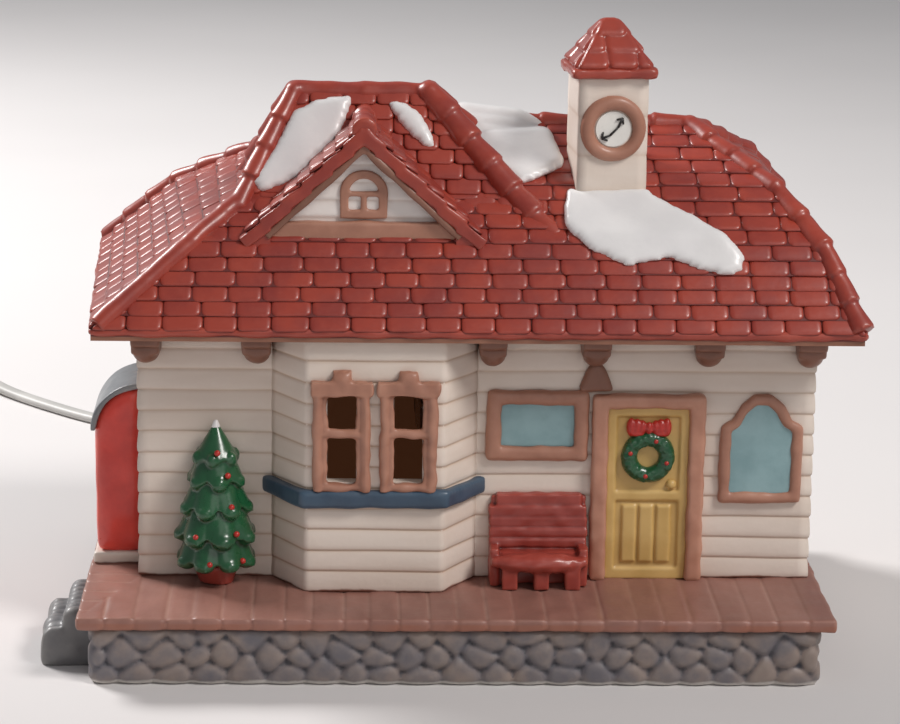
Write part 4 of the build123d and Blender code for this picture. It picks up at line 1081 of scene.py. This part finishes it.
def hip_snow():
    rings = roof_rings()
    foot, head = rings[1][1], rings[2][1]
    up = (head - foot).normalized()
    up = (up - BACK * up.dot(BACK)).normalized()
    bm = bmesh.new()
    for shift, size in hip_snow_lumps:
        ball(bm, shift, size)
    moved(bm, Matrix.Translation(foot.lerp(head, hip_snow_place)) @ axes(BACK, up, BACK.cross(up)))
    piece("hip_snow", cast(bm, 0.5, 4, swell=0.4, wobble=0.5), "snow_white")


# Plinth and deck

base_wall = 7.0
stone_width = 8.4
stone_rows = 3
stone_groove = 0.16
stone_sink = 0.6
stone_jitter = (0.3, 0.26)
stone_margin = Vector((0.3, 0.2))
stone_corner_shares = (30, 25)
stone_root = 1.4
stone_rise = 1.5


def cell(seed, others, low, high):
    """One stone's face: the part of a panel that lies nearer to its seed than to any other."""
    bm = bmesh.new()
    bmesh.ops.create_grid(bm, x_segments=1, y_segments=1, size=0.5)
    for v in bm.verts:
        v.co = at(low.x if v.co.x < 0 else high.x, low.y if v.co.y < 0 else high.y, 0)
    for other in others:
        way = other - seed
        if 0 < way.length < 4 * stone_width:
            sliced(bm, ((seed + other) / 2 - way.normalized() * stone_groove).to_3d(), way.to_3d())
    return bm


def stone_dome(stone):
    """Draws a stone's face out into a low dome with rounded corners."""
    for share in stone_corner_shares:
        bevelled(stone, stone.verts[:], share, 1, "VERTICES", "PERCENT", clamp=True)
    bmesh.ops.translate(stone, vec=(0, 0, -stone_root), verts=stone.verts)
    top = raised_face(stone, stone.faces[:])
    middle = top.calc_center_median()
    bmesh.ops.translate(stone, vec=(0, 0, stone_rise), verts=top.verts)
    for shrink, lift in ((0.84, 0.42), (0.7, vary(0.12, 0.4))):
        bmesh.ops.inset_region(stone, faces=[top], thickness=0.05, depth=lift)
        for v in top.verts:
            v.co.x = middle.x + (v.co.x - middle.x) * shrink
            v.co.y = middle.y + (v.co.y - middle.y) * shrink
    faced_out(stone)


def stones(bm, corner, along, length, height):
    """A panel of cobbles: uneven cells, each swelling out of the wall."""
    columns = round(length / stone_width)
    row_height = height / stone_rows
    jitter_x, jitter_y = stone_jitter
    seeds = []
    for row in range(stone_rows):
        for column in range(-1, columns + 1):
            x = (column + 0.5 + (0.5 if row % 2 else 0.0)) * length / columns
            y = (row + 0.5) * row_height
            seeds.append(Vector((x + vary(-jitter_x, jitter_x) * stone_width,
                                 y + vary(-jitter_y, jitter_y) * row_height)))
    low, high = stone_margin, Vector((length, height)) - stone_margin
    place = Matrix.Translation(corner) @ axes(along, UP, along.cross(UP))
    for seed in seeds:
        if not (-2 < seed.x < length + 2):
            continue
        stone = cell(seed, [s for s in seeds if s is not seed], low, high)
        if not stone.faces:
            stone.free()
            continue
        stone_dome(stone)
        moved(stone, place)
        poured(bm, stone)


def plinth():
    bm = bmesh.new()
    sunk, wall = at(stone_sink, stone_sink, 0), at(base_wall, base_wall, 0)
    low, high = base_low + sunk, base_high - sunk
    ring_blocks(bm, low, high, low + wall, high - wall, low.z, high.z)
    length, depth, height = base_high - base_low
    corners = ring(base_low.x, base_high.x, base_low.y, base_high.y)
    ways = ((ACROSS, length), (BACK, depth), (-ACROSS, length), (-BACK, depth))
    for corner, (along, reach) in zip(corners, ways):
        stones(bm, corner, along, reach, height)
    made = cast(bm, 0.56, 1, wash_rounds=4, wash_depth=0.13)
    for v in made.verts:
        v.co.z = max(v.co.z, base_low.z)
    piece("plinth_cobbles", made, "stone_gray", stands_for=["stone_base"])


plank_pitch = 7.2
plank_gap = 0.62
plank_round = 0.35
plank_shift = 0.7
plank_rise = (-0.06, 0.16)
deck_lip = 0.3
deck_sink = 0.5
deck_tuck = 4


def planks(start, end, lay):
    """Planks side by side from start to end, each laid by lay with its two edges."""
    count = round((end - start) / plank_pitch)
    shifts = [vary(-plank_shift, plank_shift) if 0 < n < count else 0.0 for n in range(count + 1)]
    edges = [start + (end - start) * n / count + shift for n, shift in enumerate(shifts)]
    for low, high in zip(edges, edges[1:]):
        lay(low + plank_gap / 2, high - plank_gap / 2, vary(*plank_rise))


def deck():
    """Planks that run front to back before the house and across it at its ends, mitred at one corner."""
    lip, sink, tuck = (at(reach, reach, 0) for reach in (deck_lip, deck_sink, deck_tuck))
    low, high = deck_low - lip, deck_high + lip
    room_low, room_high = wall_low + tuck, wall_high - tuck
    way = at(wall_low.y - deck_low.y, deck_low.x - wall_low.x, 0)
    half_gap = at(plank_gap / 2, 0, 0)
    front, rest = bmesh.new(), bmesh.new()

    def strip(bm, x0, x1, y0, y1, rise):
        block(bm, (x0, y0, low.z), (x1, y1, deck_top + rise), plank_round)

    planks(low.x, high.x, lambda a, b, rise: strip(front, a, b, low.y, room_low.y, rise))
    trimmed(front, deck_low + half_gap, -way)
    planks(low.y, high.y, lambda a, b, rise: strip(rest, low.x, room_low.x, a, b, rise))
    trimmed(rest, deck_low - half_gap, way)
    planks(room_low.y, high.y, lambda a, b, rise: strip(rest, room_high.x, high.x, a, b, rise))
    planks(room_low.x, room_high.x, lambda a, b, rise: strip(rest, a, b, room_high.y, high.y, rise))
    ring_blocks(rest, low + sink, high - sink, room_low, room_high, low.z, deck_top - deck_sink)
    poured(front, rest)
    made = cast(front, 0.56, 1, wobble=0.3, wash_rounds=4)
    piece("deck_planks", made, "deck_brown", stands_for=["boardwalk"])


# Pieces on the walls

bracket_size = (7.0, 8.0, 8.9)
bracket_near = 6


def brackets():
    """Corbels under the eave: two stepped blocks over a round belly, each turned out from its wall."""
    wide, deep, tall = bracket_size
    bm = bmesh.new()
    for low, high in islands("eave_brackets"):
        middle = (low + high) / 2
        along_x = min(abs(middle.y - wall_low.y), abs(middle.y - wall_high.y)) < bracket_near
        hand = -1 if (middle.y if along_x else middle.x) < 0 else 1
        wall = wall_low if hand < 0 else wall_high
        shape = bmesh.new()
        block(shape, (-wide * 0.52, -0.5, tall * 0.6), (wide * 0.52, deep, tall))
        block(shape, (-wide * 0.5, -0.5, tall * 0.34), (wide * 0.5, deep * 0.82, tall * 0.75))
        ball(shape, (0, deep * 0.34, tall * 0.36), (wide * 0.5, deep * 0.48, tall * 0.36))
        if along_x:
            anchor, turn = at(middle.x, wall.y, high.z - tall), 0 if hand > 0 else math.pi
        else:
            anchor, turn = at(wall.x, middle.y, high.z - tall), hand * -math.pi / 2
        moved(shape, Matrix.Translation(anchor) @ turned(turn))
        poured(bm, shape)
    made = cast(bm, 0.5, 3, wobble=0.4)
    piece("eave_corbels", made, "frame_brown", stands_for=["eave_brackets"], finish="dark_and_shaded_brown")


window_key_drop = 3.0
window_head_drop = 6.4
window_key = (2.7, 1.7, 2.5)
window_post = 1.35
window_bar = 1.0
window_bar_heights = (1.1, 14.6)


def windows():
    """Rough bars round the bay's lights, with a heavy head and a round key on it."""
    for side, (low, high) in window_boxes.items():
        node = f"window_frame_{side}"
        bm = solids_of(node)
        key_low, head_low = high.z - window_key_drop, high.z - window_head_drop
        middle = (low.x + high.x) / 2
        block(bm, (low.x - 0.3, low.y - 0.9, head_low), (high.x + 0.3, high.y, key_low + 0.2))
        ball(bm, at(middle, low.y + 0.4, key_low + 1.0), window_key)
        for x in (low.x + window_stile / 2, high.x - window_stile / 2):
            spot = at(x, low.y + 0.5, low.z)
            frustum(bm, spot, spot + at(0, 0, head_low - low.z), window_post, window_post, sides=10)
        for rise in window_bar_heights:
            left, right = (at(x, low.y + 0.6, low.z + rise) for x in (low.x + 1, high.x - 1))
            frustum(bm, left, right, window_bar, window_bar, sides=10)
        made = cast(bm, 0.36, 3, wobble=0.55, grain=0.3)
        piece(f"window_bars_{side}", made, "frame_brown", stands_for=[node])


door_rim = 2.4
door_rail = 0.46
door_panels = 3
door_panel_gap = 0.45


def door():
    low, high = box_of("door_leaf")
    face, rim = low.y, door_rim
    rail = low.z + (high.z - low.z) * door_rail
    bm = bmesh.new()
    block(bm, low, high)
    for x0, x1, z0, z1 in (
        (low.x, low.x + rim, low.z, high.z), (high.x - rim, high.x, low.z, high.z),
        (low.x, high.x, high.z - rim, high.z), (low.x, high.x, low.z, low.z + rim * 1.2),
        (low.x, high.x, rail, rail + rim),
    ):
        block(bm, (x0, face - 0.7, z0), (x1, face + 0.5, z1))
    first, last = low.x + rim + 1.6, high.x - rim - 1.6
    wide = (last - first) / door_panels
    for n in range(door_panels):
        block(bm, (first + wide * n + door_panel_gap, face - 0.75, low.z + rim + 2.2),
              (first + wide * (n + 1) - door_panel_gap, face + 0.5, rail - 1.2 + vary(-0.5, 0.5)))
    piece("door_panels", cast(bm, 0.33, 2, wobble=0.2), "door_ochre", stands_for=["door_leaf"])
    recast("door_frame", "frame_brown", rounds=10, swell=0.4, wobble=0.5, grain=0.25, finish="lit_jamb_brown")
    recast("door_knob", "door_ochre", 0.25)


wreath_radius = 4.75
wreath_tube = 2.15
wreath_beads = 40
wreath_leaves = 90
wreath_berry_degrees = (68, 165, 262, 345)
bow_lumps = ((1.7, 1.2, 1.9), (3.0, 1.3, 2.3), (4.5, 1.25, 2.5))


def wreath():
    low, high = box_of("door_wreath")
    middle = (low + high) / 2
    middle.y = high.y
    radius, tube = wreath_radius, wreath_tube
    bm = bmesh.new()
    for n in range(wreath_beads):
        size = tube * vary(0.94, 1.04)
        spot = middle - BACK * 0.4 + face_spoke(math.tau * n / wreath_beads) * radius
        ball(bm, spot, (size, size * 0.9, size))
    for n in range(wreath_leaves):
        turn, lean = vary(0, math.tau), vary(-1.0, 1.0)
        out, forward = radius + tube * 0.9 * math.sin(lean), 0.4 + tube * 0.82 * math.cos(lean)
        ball(bm, middle + face_spoke(turn) * out - BACK * forward, (0.5, 0.32, 0.5))
    piece("wreath_leaves", cast(bm, 0.27, 1), "tree_green", stands_for=["door_wreath"])
    berries = bmesh.new()
    for degrees in wreath_berry_degrees:
        spot = middle + face_spoke(math.radians(degrees)) * radius - BACK * (tube + 0.15)
        ball(berries, spot, (0.6, 0.36, 0.6))
    piece("wreath_berries", berries, "bright_red")
    bow()


def bow():
    """Two gathered loops and a knot."""
    low, high = box_of("wreath_bow")
    middle = (low + high) / 2
    bm = bmesh.new()
    for hand in (-1, 1):
        for reach, size, tall in bow_lumps:
            ball(bm, middle + at(hand * reach, -0.1, 0), (size, 1.35, tall))
        ball(bm, middle + at(hand * 3.2, -0.3, -1.5), (2.3, 1.0, 0.9))
    ball(bm, middle + at(0, -0.5, -0.1), (1.0, 1.2, 1.7))
    piece("bow_loops", cast(bm, 0.25, 1), "bright_red", stands_for=["wreath_bow"])


tree_tiers = ((0.0, 9.9, 8), (6.4, 10.1, 7), (13.6, 8.9, 7), (20.6, 7.3, 6), (26.4, 5.9, 6))
tree_berries = (
    (0, 262, 1.8), (0, 318, 2.0), (1, 240, 2.2), (1, 305, 3.0), (2, 300, 2.6), (3, 298, 3.4), (4, 276, 3.2),
)
tree_stand_off = 4.6
tree_lap = 3.0
tree_lobe = 0.2
tree_berry = 0.8


def tree():
    low, high = box_of("christmas_tree")
    middle = at((low.x + high.x) / 2, wall_low.y - tree_stand_off, low.z)
    bm = bmesh.new()
    heads = [(rise + tree_lap, radius * 0.66) for rise, radius, _ in tree_tiers[1:]]
    heads.append((high.z - low.z, 0.5))
    for (rise, radius, lobes), (head, head_radius) in zip(tree_tiers, heads):
        foot = middle + UP * rise
        before = len(bm.verts)
        frustum(bm, foot, middle + UP * head, radius, head_radius, sides=56)
        bm.verts.ensure_lookup_table()
        phase = vary(0, math.tau)
        for v in bm.verts[before:]:
            if abs(v.co.z - foot.z) < 0.01:
                turn = math.atan2(v.co.y - middle.y, v.co.x - middle.x)
                lobe = abs(math.cos(lobes * turn / 2 + phase)) - 0.6
                v.co.x += (v.co.x - middle.x) * tree_lobe * lobe
                v.co.y += (v.co.y - middle.y) * tree_lobe * lobe
                v.co.z += 0.5 - 2.0 * lobe
        for n in range(lobes):
            way = spoke((math.tau * n - 2 * phase) / lobes)
            ball(bm, foot + way * radius * 0.8 + UP, (radius * 0.27, radius * 0.27, 2.0))
    for v in bm.verts:
        v.co.y = min(v.co.y, wall_low.y + 0.6)
    piece("tree_tiers", cast(bm, 0.42, 2), "tree_green", stands_for=["christmas_tree"])
    berries = bmesh.new()
    for tier, degrees, lift in tree_berries:
        rise, radius, _ = tree_tiers[tier]
        spot = middle + spoke(math.radians(degrees)) * radius * 0.93 + UP * (rise + lift)
        ball(berries, spot, (tree_berry, tree_berry, tree_berry))
    piece("tree_berries", berries, "bright_red")
    snow_tip = bmesh.new()
    start, end = (at(middle.x, middle.y, high.z + lift) for lift in (-1.1, 0.7))
    frustum(snow_tip, start, end, 1.15, 0.45)
    piece("tree_tip", cast(snow_tip, 0.25, 2, wobble=0.3), "snow_white")
    recast("tree_pot", "bench_red", wobble=0.5)


bench_seat = 8.4
bench_back = 9.4
bench_boards = (2.6, 2.6, 2.8, 2.9)
bench_groove = 0.85
bench_legs = (0.13, 0.45, 0.76)
bench_leg_width = 3.9
bench_arm = 2.4


def bench():
    """Uneven back boards over a dished seat with a rounded front, on three broad legs."""
    low, high = box_of("platform_bench")
    seat, back = low.z + bench_seat, low.y + bench_back
    span, middle = high.x - low.x, (low.x + high.x) / 2
    bm = bmesh.new()
    z = seat + 0.2
    for number, tall in enumerate((*bench_boards, 0)):
        top = z + tall if tall else high.z
        narrow = 0.3 if tall else 1.9
        left, right = low.x + narrow - vary(0, 0.4), high.x - narrow + vary(0, 0.4)
        face = back + 0.3 * number + vary(-0.12, 0.12)
        block(bm, (left, face, z + bench_groove / 2), (right, high.y, top), 0.3)
        z = top
    block(bm, (low.x + 0.6, back + 2.3, seat), (high.x - 0.6, high.y, high.z - 0.8))
    block(bm, (low.x + 0.3, low.y + 2.0, seat - 2.6), (high.x - 0.3, high.y, seat - 0.3), 1.0)
    ball(bm, at(middle, low.y + 3.6, seat - 1.6), (span / 2 - 0.2, 3.7, 2.7))
    for x in (low.x + 0.2, high.x - 0.2 - bench_arm):
        block(bm, (x, low.y + 4.4, low.z), (x + bench_arm, high.y, seat + 1.6), 0.5)
    for share in bench_legs:
        x = low.x + span * share
        block(bm, (x, low.y + 1.6, low.z), (x + bench_leg_width, low.y + 5.5, seat - 1))
    block(bm, (low.x + 0.6, low.y + 7.5, low.z), (high.x - 0.6, high.y, seat))
    made = cast(bm, 0.34, 2, wobble=0.35, grain=0.3, wash_depth=0.13)
    piece("bench_boards", made, "bench_red", stands_for=["platform_bench"])


step_tread = 9.0
step_grooves = 8
step_rib = 1.05
step_lumps = 7


def steps():
    """Soft, worn stone steps with shallow grooves across their treads."""
    low, high = box_of("side_steps")
    bm = solids_of("side_steps")
    treads = ((low.z + step_tread, low.x, low.x + 5.6), (high.z, low.x + 5.2, high.x - 3.4))
    for z, x0, x1 in treads:
        for n in range(step_grooves):
            y = low.y + (high.y - low.y) * (n + 0.5) / step_grooves
            lean = vary(-0.6, 0.6)
            frustum(bm, at(x0 + 1.2, y, z - 0.2), at(x1, y + lean, z - 0.2), step_rib, step_rib, sides=10)
    for n in range(step_lumps):
        ball(bm, at(low.x + vary(2, 9), low.y + 0.6, vary(1.5, 8)), (2.8, 0.9, 2.2))
    made = cast(bm, 0.5, 9, swell=0.5, wobble=0.8)
    for v in made.verts:
        v.co.z = max(v.co.z, low.z)
    piece("steps_cast", made, "stone_gray", stands_for=["side_steps"], finish="step_gray")


gable_boards = 5
gable_tuck = 0.8


def gable():
    """Boards across the dormer's front, cut to its slopes and tucked behind the bargeboards."""
    front, foot, apex = gable_low.y, dormer_foot, gable_high.z + gable_tuck
    half = dormer_half * (apex - foot) / dormer_height
    tall = (apex - foot) / gable_boards
    left, right = dormer_middle - half, dormer_middle + half
    bm = bmesh.new()
    for n in range(gable_boards):
        z = foot + tall * n
        reach, next_reach = (half * (1 - number / gable_boards) for number in (n, n + 1))
        shape = bmesh.new()
        block(shape, (dormer_middle - reach, front - 0.75, z),
              (dormer_middle + reach, front + 0.6, z + tall - 0.25))
        for v in shape.verts:
            if v.co.z > z + tall / 2:
                v.co.x = dormer_middle + (v.co.x - dormer_middle) * next_reach / reach
                v.co.y += 0.35 if v.co.y < front else 0
        poured(bm, shape)
    block(bm, (left, front - 0.1, foot - 2), (right, front + 0.8, foot + 1))
    piece("gable_boards", cast(bm, 0.4, 2, wash_depth=0.1), "siding_cream", finish="snowlit_gable_cream")
    recast("dormer_window", "frame_brown", 0.3, wobble=0.2)
    recast("dormer_sill", "frame_brown", swell=0.3, wobble=0.4)


# Light set

cord_width = 4.8
cord_thickness = 3.3
cord_ring = 14
cord_waist = 0.72
lead_route = (
    (3.0, 107.0, 37.6), (-9.5, 124.5, 27.0), (-26.0, 137.5, 15.5), (-45.0, 149.0, 6.0), (-66.0, 159.5, 2.0),
    (-87.0, 168.5, 1.4), (-106.0, 180.8, 1.4), (-124.0, 199.0, 1.4), (-139.0, 216.4, 1.6),
)
tail_route = ((-195.0, 161.0, 4.2), (-187.6, 146.0, 4.6))
plug_route = ((-183.0, 51.0, 5.8), (-178.6, 40.5, 6.4))
lead_straight = 15.0
tail_straight = 13.0
plug_straight = 9.0
coil_middle = Vector((-188.0, 214.0, 0.0))
coil_radius = 39.2
coil_pitch = 5.3
coil_layer = 3.4
coil_floor = 2.4
coil_turns = 7.5
coil_climb_start = 3.5
coil_climb_turns = 0.5
coil_start_angle = math.radians(45.0)
points_per_turn = 16


def coil_point(turn):
    """The cord's middle after so many turns: in on the lower layer, up, and out on the upper one."""
    climbed = min(max((turn - coil_climb_start) / coil_climb_turns, 0), 1)
    middle = coil_turns / 2
    radius = coil_radius - coil_pitch * (middle - abs(turn - middle))
    angle = coil_start_angle + math.tau * turn
    z = coil_floor + coil_layer * climbed * climbed * (3 - 2 * climbed)
    return coil_middle + at(radius * math.cos(angle), radius * math.sin(angle), z)


def along_spline(points):
    """Points along the smooth line that takes these as its control points."""
    curve = bpy.data.curves.new("route", "CURVE")
    curve.dimensions = "3D"
    spline = curve.splines.new("NURBS")
    spline.points.add(len(points) - 1)
    for knot, point in zip(spline.points, points):
        knot.co = (*point, 1.0)
    spline.order_u = 3
    spline.use_endpoint_u = True
    curve.resolution_u = 4
    route = bpy.data.objects.new("route", curve)
    mesh = bpy.data.meshes.new_from_object(route)
    line = [v.co.copy() for v in mesh.vertices]
    bpy.data.objects.remove(route)
    bpy.data.meshes.remove(mesh)
    return line


def flat_cord(name, points, stands_for):
    """Twin cord along a route: two round conductors side by side in one skin."""
    line = along_spline(points)

    def section(turn):
        """Half-width and half-height of the cord's outline at a turn about its middle."""
        x, z = math.cos(turn), math.sin(turn)
        pinch = cord_waist + (1 - cord_waist) * min(1, abs(x) / 0.5)
        return x * cord_width / 2, z * cord_thickness / 2 * pinch

    def place(column, row):
        before, after = line[max(column - 1, 0)], line[min(column + 1, len(line) - 1)]
        way = (after - before).normalized()
        side = way.cross(UP).normalized()
        across, rise = section(math.tau * row / cord_ring)
        return line[column] + side * across + side.cross(way) * rise

    bm = sheet(len(line) - 1, cord_ring, place)
    welded(bm, 0.0005)
    bmesh.ops.holes_fill(bm, edges=[e for e in bm.edges if e.is_boundary], sides=0)
    faced_out(bm)
    made = piece(name, bm, "cord_white", "light_set", stands_for)
    return made, [p * MM for p in line]


def light_set():
    relief_low, relief_high = box_of("cord_relief")
    switch_low, switch_high = box_of("switch_lower")
    plug_low, plug_high = box_of("plug_body")
    leave, plug_inlet = (
        at((low.x + high.x) / 2, high.y, (low.z + high.z) / 2)
        for low, high in ((relief_low, relief_high), (plug_low, plug_high))
    )
    switch_middle = (switch_low.x + switch_high.x) / 2
    inlet, outlet = (at(switch_middle, y, switch_high.z) for y in (switch_high.y, switch_low.y))
    heading = at(-math.sin(coil_start_angle), math.cos(coil_start_angle), 0)
    count = round(coil_turns * points_per_turn)
    coil = [coil_point(coil_turns * n / count) for n in range(count + 1)]
    start, end = coil[0] - heading * cord_width, coil[-1] - heading * cord_width
    main_route = [
        leave, leave + BACK * lead_straight, *map(Vector, lead_route),
        start - heading * lead_straight, start, *coil, end, end - heading * tail_straight,
        *map(Vector, tail_route), inlet + BACK * tail_straight, inlet,
    ]
    end_route = [
        outlet, outlet - BACK * plug_straight, *map(Vector, plug_route),
        plug_inlet + BACK * plug_straight, plug_inlet,
    ]
    cord, line = flat_cord("lamp_cord", main_route, ["cord_lead", "cord_coil", "cord_tail"])
    tail, tail_line = flat_cord("plug_cord", end_route, ["cord_plug_end"])
    tie = cord_tie()
    wheel = thumb_wheel()
    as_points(line)
    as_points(tail_line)


tie_angle = math.radians(310.0)
tie_width = 5.0
tie_thickness = 0.5
tie_floor = 0.35


def cord_tie():
    """A flat tie round one side of the coil."""
    way = spoke(tie_angle)
    side = UP.cross(way)
    inner, outer = coil_radius - coil_pitch * coil_turns / 2 - 3.4, coil_radius - 0.9
    low, high = tie_floor, coil_floor + coil_layer + 2.0
    line = (
        (inner, low + 1), (inner + 1, low), (outer - 1, low), (outer, low + 1), (outer, high - 1),
        (outer - 1.4, high), (inner + 1.4, high), (inner, high - 1),
    )

    def place(column, row):
        reach, rise = line[column % len(line)]
        return coil_middle + way * reach + UP * rise + side * (tie_width * (row / 2 - 0.5))

    bm = skin(sheet(len(line), 2, place), -tie_thickness)
    return piece("cord_tie", bm, "tie_white", "light_set", ["coil_tie"])


wheel_ribs = 40
wheel_rib = 0.42


def thumb_wheel():
    """The switch's wheel with its ribbed rim."""
    low, high = box_of("switch_wheel")
    middle = (low + high) / 2
    reach = (high.x - low.x) / 2 - 0.45
    bm = solids_of("switch_wheel")
    for n in range(wheel_ribs):
        spot = middle + spoke(math.tau * n / wheel_ribs) * reach
        foot, top = (at(spot.x, spot.y, z) for z in (low.z + 0.3, high.z - 0.3))
        frustum(bm, foot, top, wheel_rib, wheel_rib, sides=8)
    return piece("thumb_wheel", bm, "wheel_white", "switch_wheel", ["switch_wheel"])


# Putting it together: random draws follow this order

for build in (
    walls, bay, main_roof, cross_roof, dormer, gable, tower_cap, cap_tiles, tower, snow, plinth, deck,
    brackets, door, wreath, tree, bench, steps, eaves, windows,
):
    build()
for node in ("sign_frame", "notice_frame"):
    recast(node, "frame_brown", rounds=12, swell=0.5, wobble=0.5, grain=0.3)
recast("wall_lantern", "frame_brown", rounds=8, swell=0.5, wobble=0.7, finish="dark_and_shaded_brown")
recast("bay_sill", "sill_blue", rounds=8, swell=0.35, wobble=0.6)
recast("sign_panel", "panel_blue", 0.3, rounds=1)
recast("notice_panel", "panel_blue", 0.3, rounds=1, swell=0.75)
recast("mailbox_body", "bright_red", 0.55, rounds=30, swell=0.5, wobble=0.5, finish="box_red")
recast("mailbox_hood", "hood_gray", 0.4, rounds=5, swell=-0.1, wobble=0.3)
recast("mailbox_foot", "siding_cream", 0.5, wobble=0.4)
light_set()

# CAD nodes that show as they are
# The roof shell and the cross roof show dark red under the tiles, joint colour that also stands in for
# painted shade between them.
shown_as = {"roof_shell": "roof_fascia", "upper_roof": "roof_dark", "wall_shell": "glowing_bare_brown"}
for slot_row in frame["record"]["subparts"]:
    node, slot = slot_row["node"], slot_row["material_slot"]
    nodes[node].data.materials.clear()
    nodes[node].data.materials.append(finishes[shown_as.get(node, slot)])


# Camera, floor and light

camera_place = Vector((-27.036, -756.682, 252.317))
camera_degrees = (13.82788, 2.10926, -0.90336)
camera_lens = 120.0
camera_sensor = 36.0
lamps = (
    ("key", (0.72, -0.55, 0.98), (0.0, 0.0, 0.06), 0.4, 9.6, (1.0, 0.96, 0.93)),
    ("rim", (-0.8, 0.62, 0.8), (-0.05, 0.1, 0.05), 0.4, 15.5, (1.0, 0.98, 0.97)),
    ("fill", (0.3, -1.3, 0.5), (0.0, 0.0, 0.06), 0.9, 1.6, (1.0, 0.95, 0.92)),
)
floor_reach = 6.0
# Where the floor's painted shade fades out, from the camera side back, in metres.
floor_shade_span = (-0.3, 0.02)
sky_colour = (0.92, 0.95, 1.0, 1.0)
sky_strength = 0.24


def camera():
    pitch, yaw, roll = (math.radians(a) for a in camera_degrees)
    ahead = at(math.sin(yaw) * math.cos(pitch), math.cos(yaw) * math.cos(pitch), -math.sin(pitch))
    right = at(math.cos(yaw), -math.sin(yaw), 0)
    down = ahead.cross(right)
    level_right = right * math.cos(roll) + down * math.sin(roll)
    level_down = down * math.cos(roll) - right * math.sin(roll)
    data = bpy.data.cameras.new("photo_camera")
    data.lens = camera_lens
    data.sensor_width = camera_sensor
    data.clip_start = 0.02
    data.clip_end = 40.0
    made = new_object("photo_camera", data)
    made.matrix_world = Matrix.Translation(camera_place * MM) @ axes(level_right, -level_down, -ahead)
    bpy.context.scene.camera = made


def lamp(name, place, aim, size, watts, colour):
    data = bpy.data.lights.new(name, "AREA")
    data.shape = "DISK"
    data.size = size
    data.energy = watts
    data.color = colour
    way = Vector(aim) - Vector(place)
    turn = way.to_track_quat("-Z", "Y").to_matrix().to_4x4()
    new_object(name, data).matrix_world = Matrix.Translation(place) @ turn


def studio():
    bm = bmesh.new()
    bmesh.ops.create_grid(bm, x_segments=1, y_segments=1, size=floor_reach)
    mesh = mesh_of(bm, "studio_floor")
    floor = new_object("studio_floor", mesh)
    paper = Finish("studio_paper", 0.9, **{"Specular IOR Level": 0.12})
    # The paper is darker towards the camera: painted shade for the light that falls off across the floor.
    # The cloud is a faint mottle.
    near = paper.axis("Y").between(*floor_shade_span)
    cloud = paper.grain(3.0).between(0.2, 0.8)
    paper.feed("Base Color", (near * 0.85 + cloud * 0.15).mixed(rgb(184, 180, 180), rgb(224, 221, 220)))
    mesh.materials.append(paper.material)
    world = bpy.data.worlds.new("studio")
    world.use_nodes = True
    sky = world.node_tree.nodes["Background"].inputs
    sky["Color"].default_value = sky_colour
    sky["Strength"].default_value = sky_strength
    bpy.context.scene.world = world
    for row in lamps:
        lamp(*row)


camera()
studio()
bpy.context.scene.view_settings.view_transform = "Standard"
